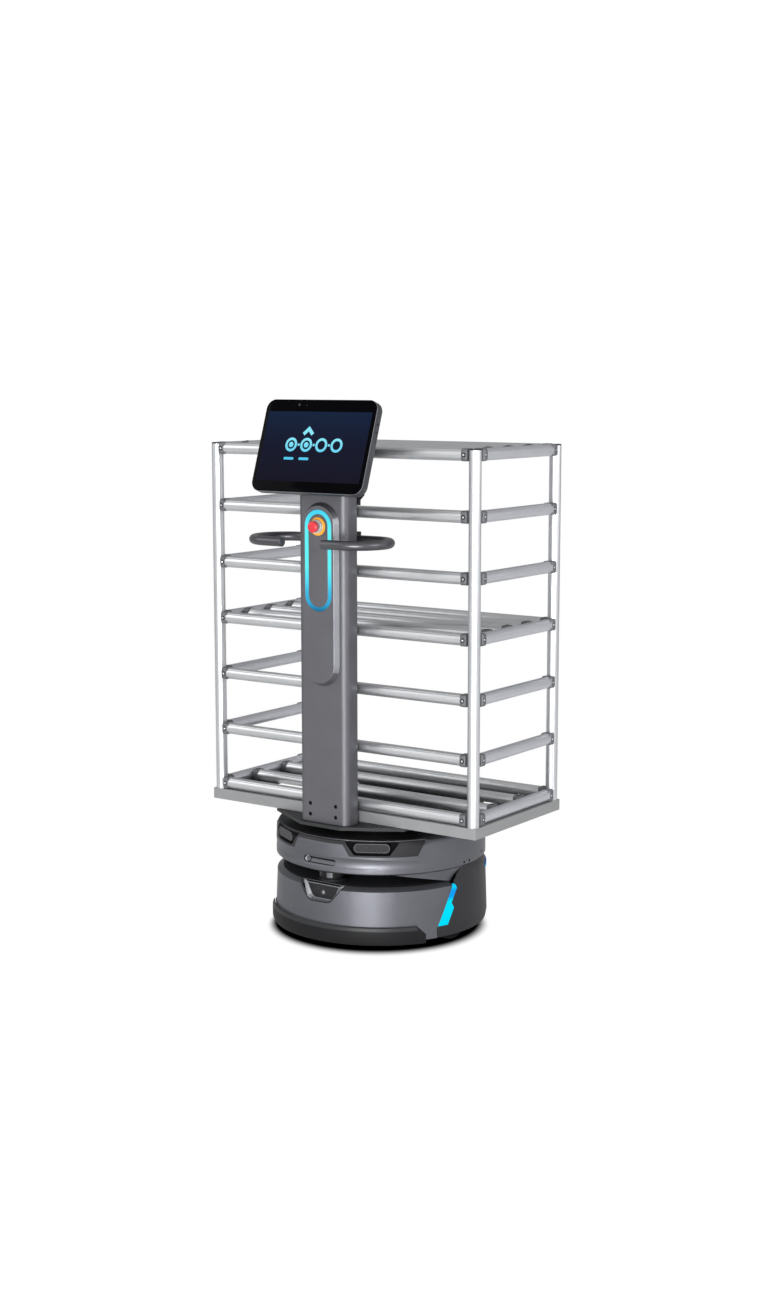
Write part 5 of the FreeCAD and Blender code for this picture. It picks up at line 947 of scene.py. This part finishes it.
def buildGraphic():
    # A plain progress line with round stops, two of them reached, a chevron and two short bars
    z, outer = graphic["z"], graphic["ring"]
    inner = outer - graphic["rim"]
    parts = []
    for start, end in zip(graphic["stops"], graphic["stops"][1:]):
        half = (end - start) / 2 - outer - 2
        parts.append(thick(outlineFace(rectangle(half, graphic["line"] / 2, (start + end) / 2, z), 1.5, 4), 0.2))
    for step, x in enumerate(graphic["stops"]):
        ring = spun(((inner, 0), (outer, 0), (outer, 0.2), (inner, 0.2)), 64)
        parts.append(moved(ring, at(x, 0.2, z) @ turn(90, "X")))
        if step < 2:
            parts.append(moved(disc(graphic["dot"], 0.2, 40), at(x, 0.2, z)))
    chevron = outlineFace(((-16, 32), (0, 48), (16, 32), (10, 26), (0, 36), (-10, 26)))
    parts.append(moved(thick(chevron, 0.2), at(graphic["stops"][1], 0, 0)))
    for x in graphic["stops"][:2]:
        parts.append(thick(outlineFace(rectangle(14, 3, x, z - 33), 2, 4), 0.2))
    finishPiece(moved(joined(*parts), tabletFrame @ at(0, -0.2, 0)), "status_graphic", "screenGlow",
                bodyOf("tablet_display"), "screen")


buildTablet()
buildGraphic()
print("tablet made")


# Nodes that keep their own solids, and the bumper springs, which get a mesh of their own

dress("darkPlastic", "bumper_plungers", "caster_mounts", "main_controller", "mast_foot")
dress("steel", "wheel_axles", "support_columns", "wheel_brackets")
springs = softCopy("bumper_springs", "steel", "steel", bevel=0, angle=0.01)
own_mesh(springs)
dress("battery", "battery_pack")
for corner in ("front_left", "front_right", "rear_left", "rear_right"):
    dress("steel", "caster_fork_" + corner)
    dress("casterGrey", "caster_wheel_" + corner)
for side in ("left", "right"):
    dress("tyreRubber", "drive_tyre_" + side)
    dress("steel", "hub_motor_" + side)


# Floor, light and camera

floorLook = {"size": 9.0, "dark": (-0.0237, 0.0458), "darkRadius": 0.249, "light": (-0.0063, 0.0263),
             "lightRadius": 0.276}


def buildFloor():
    # The camera sees a white floor with a painted dark soft shadow under the robot
    bm = newMesh()
    bmesh.ops.create_grid(bm, x_segments=8, y_segments=8, size=floorLook["size"])
    mesh = bpy.data.meshes.new("floor")
    bm.to_mesh(mesh)
    bm.free()
    material, nodes, links, shader = startMaterial("floorWhite")
    setInputs(shader, {"Base Color": (0.9, 0.9, 0.9, 1), "Roughness": 0.9, "Specular IOR Level": 0.1})
    coords = addNode(nodes, "TexCoord")

    def reach(middle):
        centred = addNode(nodes, "VectorMath", {1: middle + (0,)}, operation="SUBTRACT")
        links.new(coords.outputs["Object"], centred.inputs[0])
        length = addNode(nodes, "VectorMath", operation="LENGTH")
        links.new(centred.outputs["Vector"], length.inputs[0])
        return length.outputs["Value"]

    def maths(operation, *values):
        node = addNode(nodes, "Math", operation=operation)
        for socket, value in zip(node.inputs, values):
            if isinstance(value, float):
                socket.default_value = value
            else:
                links.new(value, socket)
        return node.outputs["Value"]

    beyondDark = maths("SUBTRACT", reach(floorLook["dark"]), floorLook["darkRadius"])
    beforeLight = maths("SUBTRACT", floorLook["lightRadius"], reach(floorLook["light"]))
    share = maths("DIVIDE", beyondDark, maths("MAXIMUM", maths("ADD", beyondDark, beforeLight), 0.008))
    fade = addNode(nodes, "MapRange", interpolation_type="SMOOTHSTEP")
    links.new(share, fade.inputs["Value"])
    seen = addNode(nodes, "Emission")
    links.new(fade.outputs["Result"], seen.inputs["Strength"])
    path = addNode(nodes, "LightPath")
    blend = addNode(nodes, "MixShader")
    links.new(path.outputs["Is Camera Ray"], blend.inputs["Fac"])
    links.new(shader.outputs["BSDF"], blend.inputs[1])
    links.new(seen.outputs["Emission"], blend.inputs[2])
    links.new(blend.outputs["Shader"], nodes["Material Output"].inputs["Surface"])
    mesh.materials.append(material)
    floor = bpy.data.objects.new("floor", mesh)
    scene.collection.objects.link(floor)


worldLook = {"toward": (0.56, -0.83, 0.0), "near": 0.95, "far": 0.36, "soft": 0.58}


def buildWorld():
    # White where it is seen, a soft light all round, and a darker far side in reflections
    world = bpy.data.worlds.new("studio")
    scene.world = world
    world.use_nodes = True
    nodes, links = world.node_tree.nodes, world.node_tree.links
    whole = (1, 1, 1, 1)
    plain = nodes["Background"]
    setInputs(plain, {"Color": whole, "Strength": worldLook["soft"]})
    coords = addNode(nodes, "TexCoord")
    toward = addNode(nodes, "VectorMath", {1: worldLook["toward"]}, operation="DOT_PRODUCT")
    links.new(coords.outputs["Generated"], toward.inputs[0])
    mirrored = addNode(nodes, "Background", {"Color": whole})
    level = spread(nodes, links, toward.outputs["Value"], worldLook["far"], worldLook["near"], -0.8, 0.9)
    links.new(level, mirrored.inputs["Strength"])
    white = addNode(nodes, "Background", {"Color": whole})
    path = addNode(nodes, "LightPath")
    seen = addNode(nodes, "Math", operation="MAXIMUM")
    links.new(path.outputs["Is Camera Ray"], seen.inputs[0])
    links.new(path.outputs["Is Transmission Ray"], seen.inputs[1])

    def mixed(factor, first, second):
        node = addNode(nodes, "MixShader")
        for socket, output in zip(node.inputs, (factor, first, second)):
            links.new(output, socket)
        return node.outputs["Shader"]

    inner = mixed(path.outputs["Is Glossy Ray"], plain.outputs["Background"], mirrored.outputs["Background"])
    outer = mixed(seen.outputs["Value"], inner, white.outputs["Background"])
    links.new(outer, nodes["World Output"].inputs["Surface"])


def lamp(name, place, target, width, height, power):
    data = bpy.data.lights.new(name, "AREA")
    data.shape = "RECTANGLE"
    data.size = width
    data.size_y = height
    data.energy = power
    light = bpy.data.objects.new(name, data)
    light.location = place
    light.rotation_euler = (Vector(target) - Vector(place)).to_track_quat("-Z", "Y").to_euler()
    light.visible_camera = False
    scene.collection.objects.link(light)


cameraPlace = {"lens": 52.0, "sensor": 36, "place": (2.627, -3.6775, 1.3455), "yaw": 35.257, "pitch": 8.515,
               "roll": -0.064}


def buildCamera():
    data = bpy.data.cameras.new("camera")
    data.lens = cameraPlace["lens"]
    data.sensor_fit = "VERTICAL"
    data.sensor_height = cameraPlace["sensor"]
    camera = bpy.data.objects.new("camera", data)
    turned = turn(cameraPlace["yaw"], "Z") @ turn(90 - cameraPlace["pitch"], "X") @ turn(cameraPlace["roll"], "Z")
    camera.matrix_world = Matrix.Translation(cameraPlace["place"]) @ turned
    scene.collection.objects.link(camera)
    scene.camera = camera


buildFloor()
buildWorld()
lamp("keyPanel", (1.62, -3.9, 0.5), (0, 0, 0.3), 1.9, 0.94, 120)
lamp("softLeft", (-2.8, -2.2, 2.4), (0, 0, 0.7), 1.8, 1.8, 20)
lamp("sideBox", (3.1, -0.4, 1.6), (0, 0, 0.95), 1.4, 1.4, 22)
lamp("softRight", (2.9, 1.4, 1.8), (0, 0, 0.6), 1.2, 2.2, 12)
buildCamera()
scene.view_settings.view_transform = "Standard"
print("stage made")
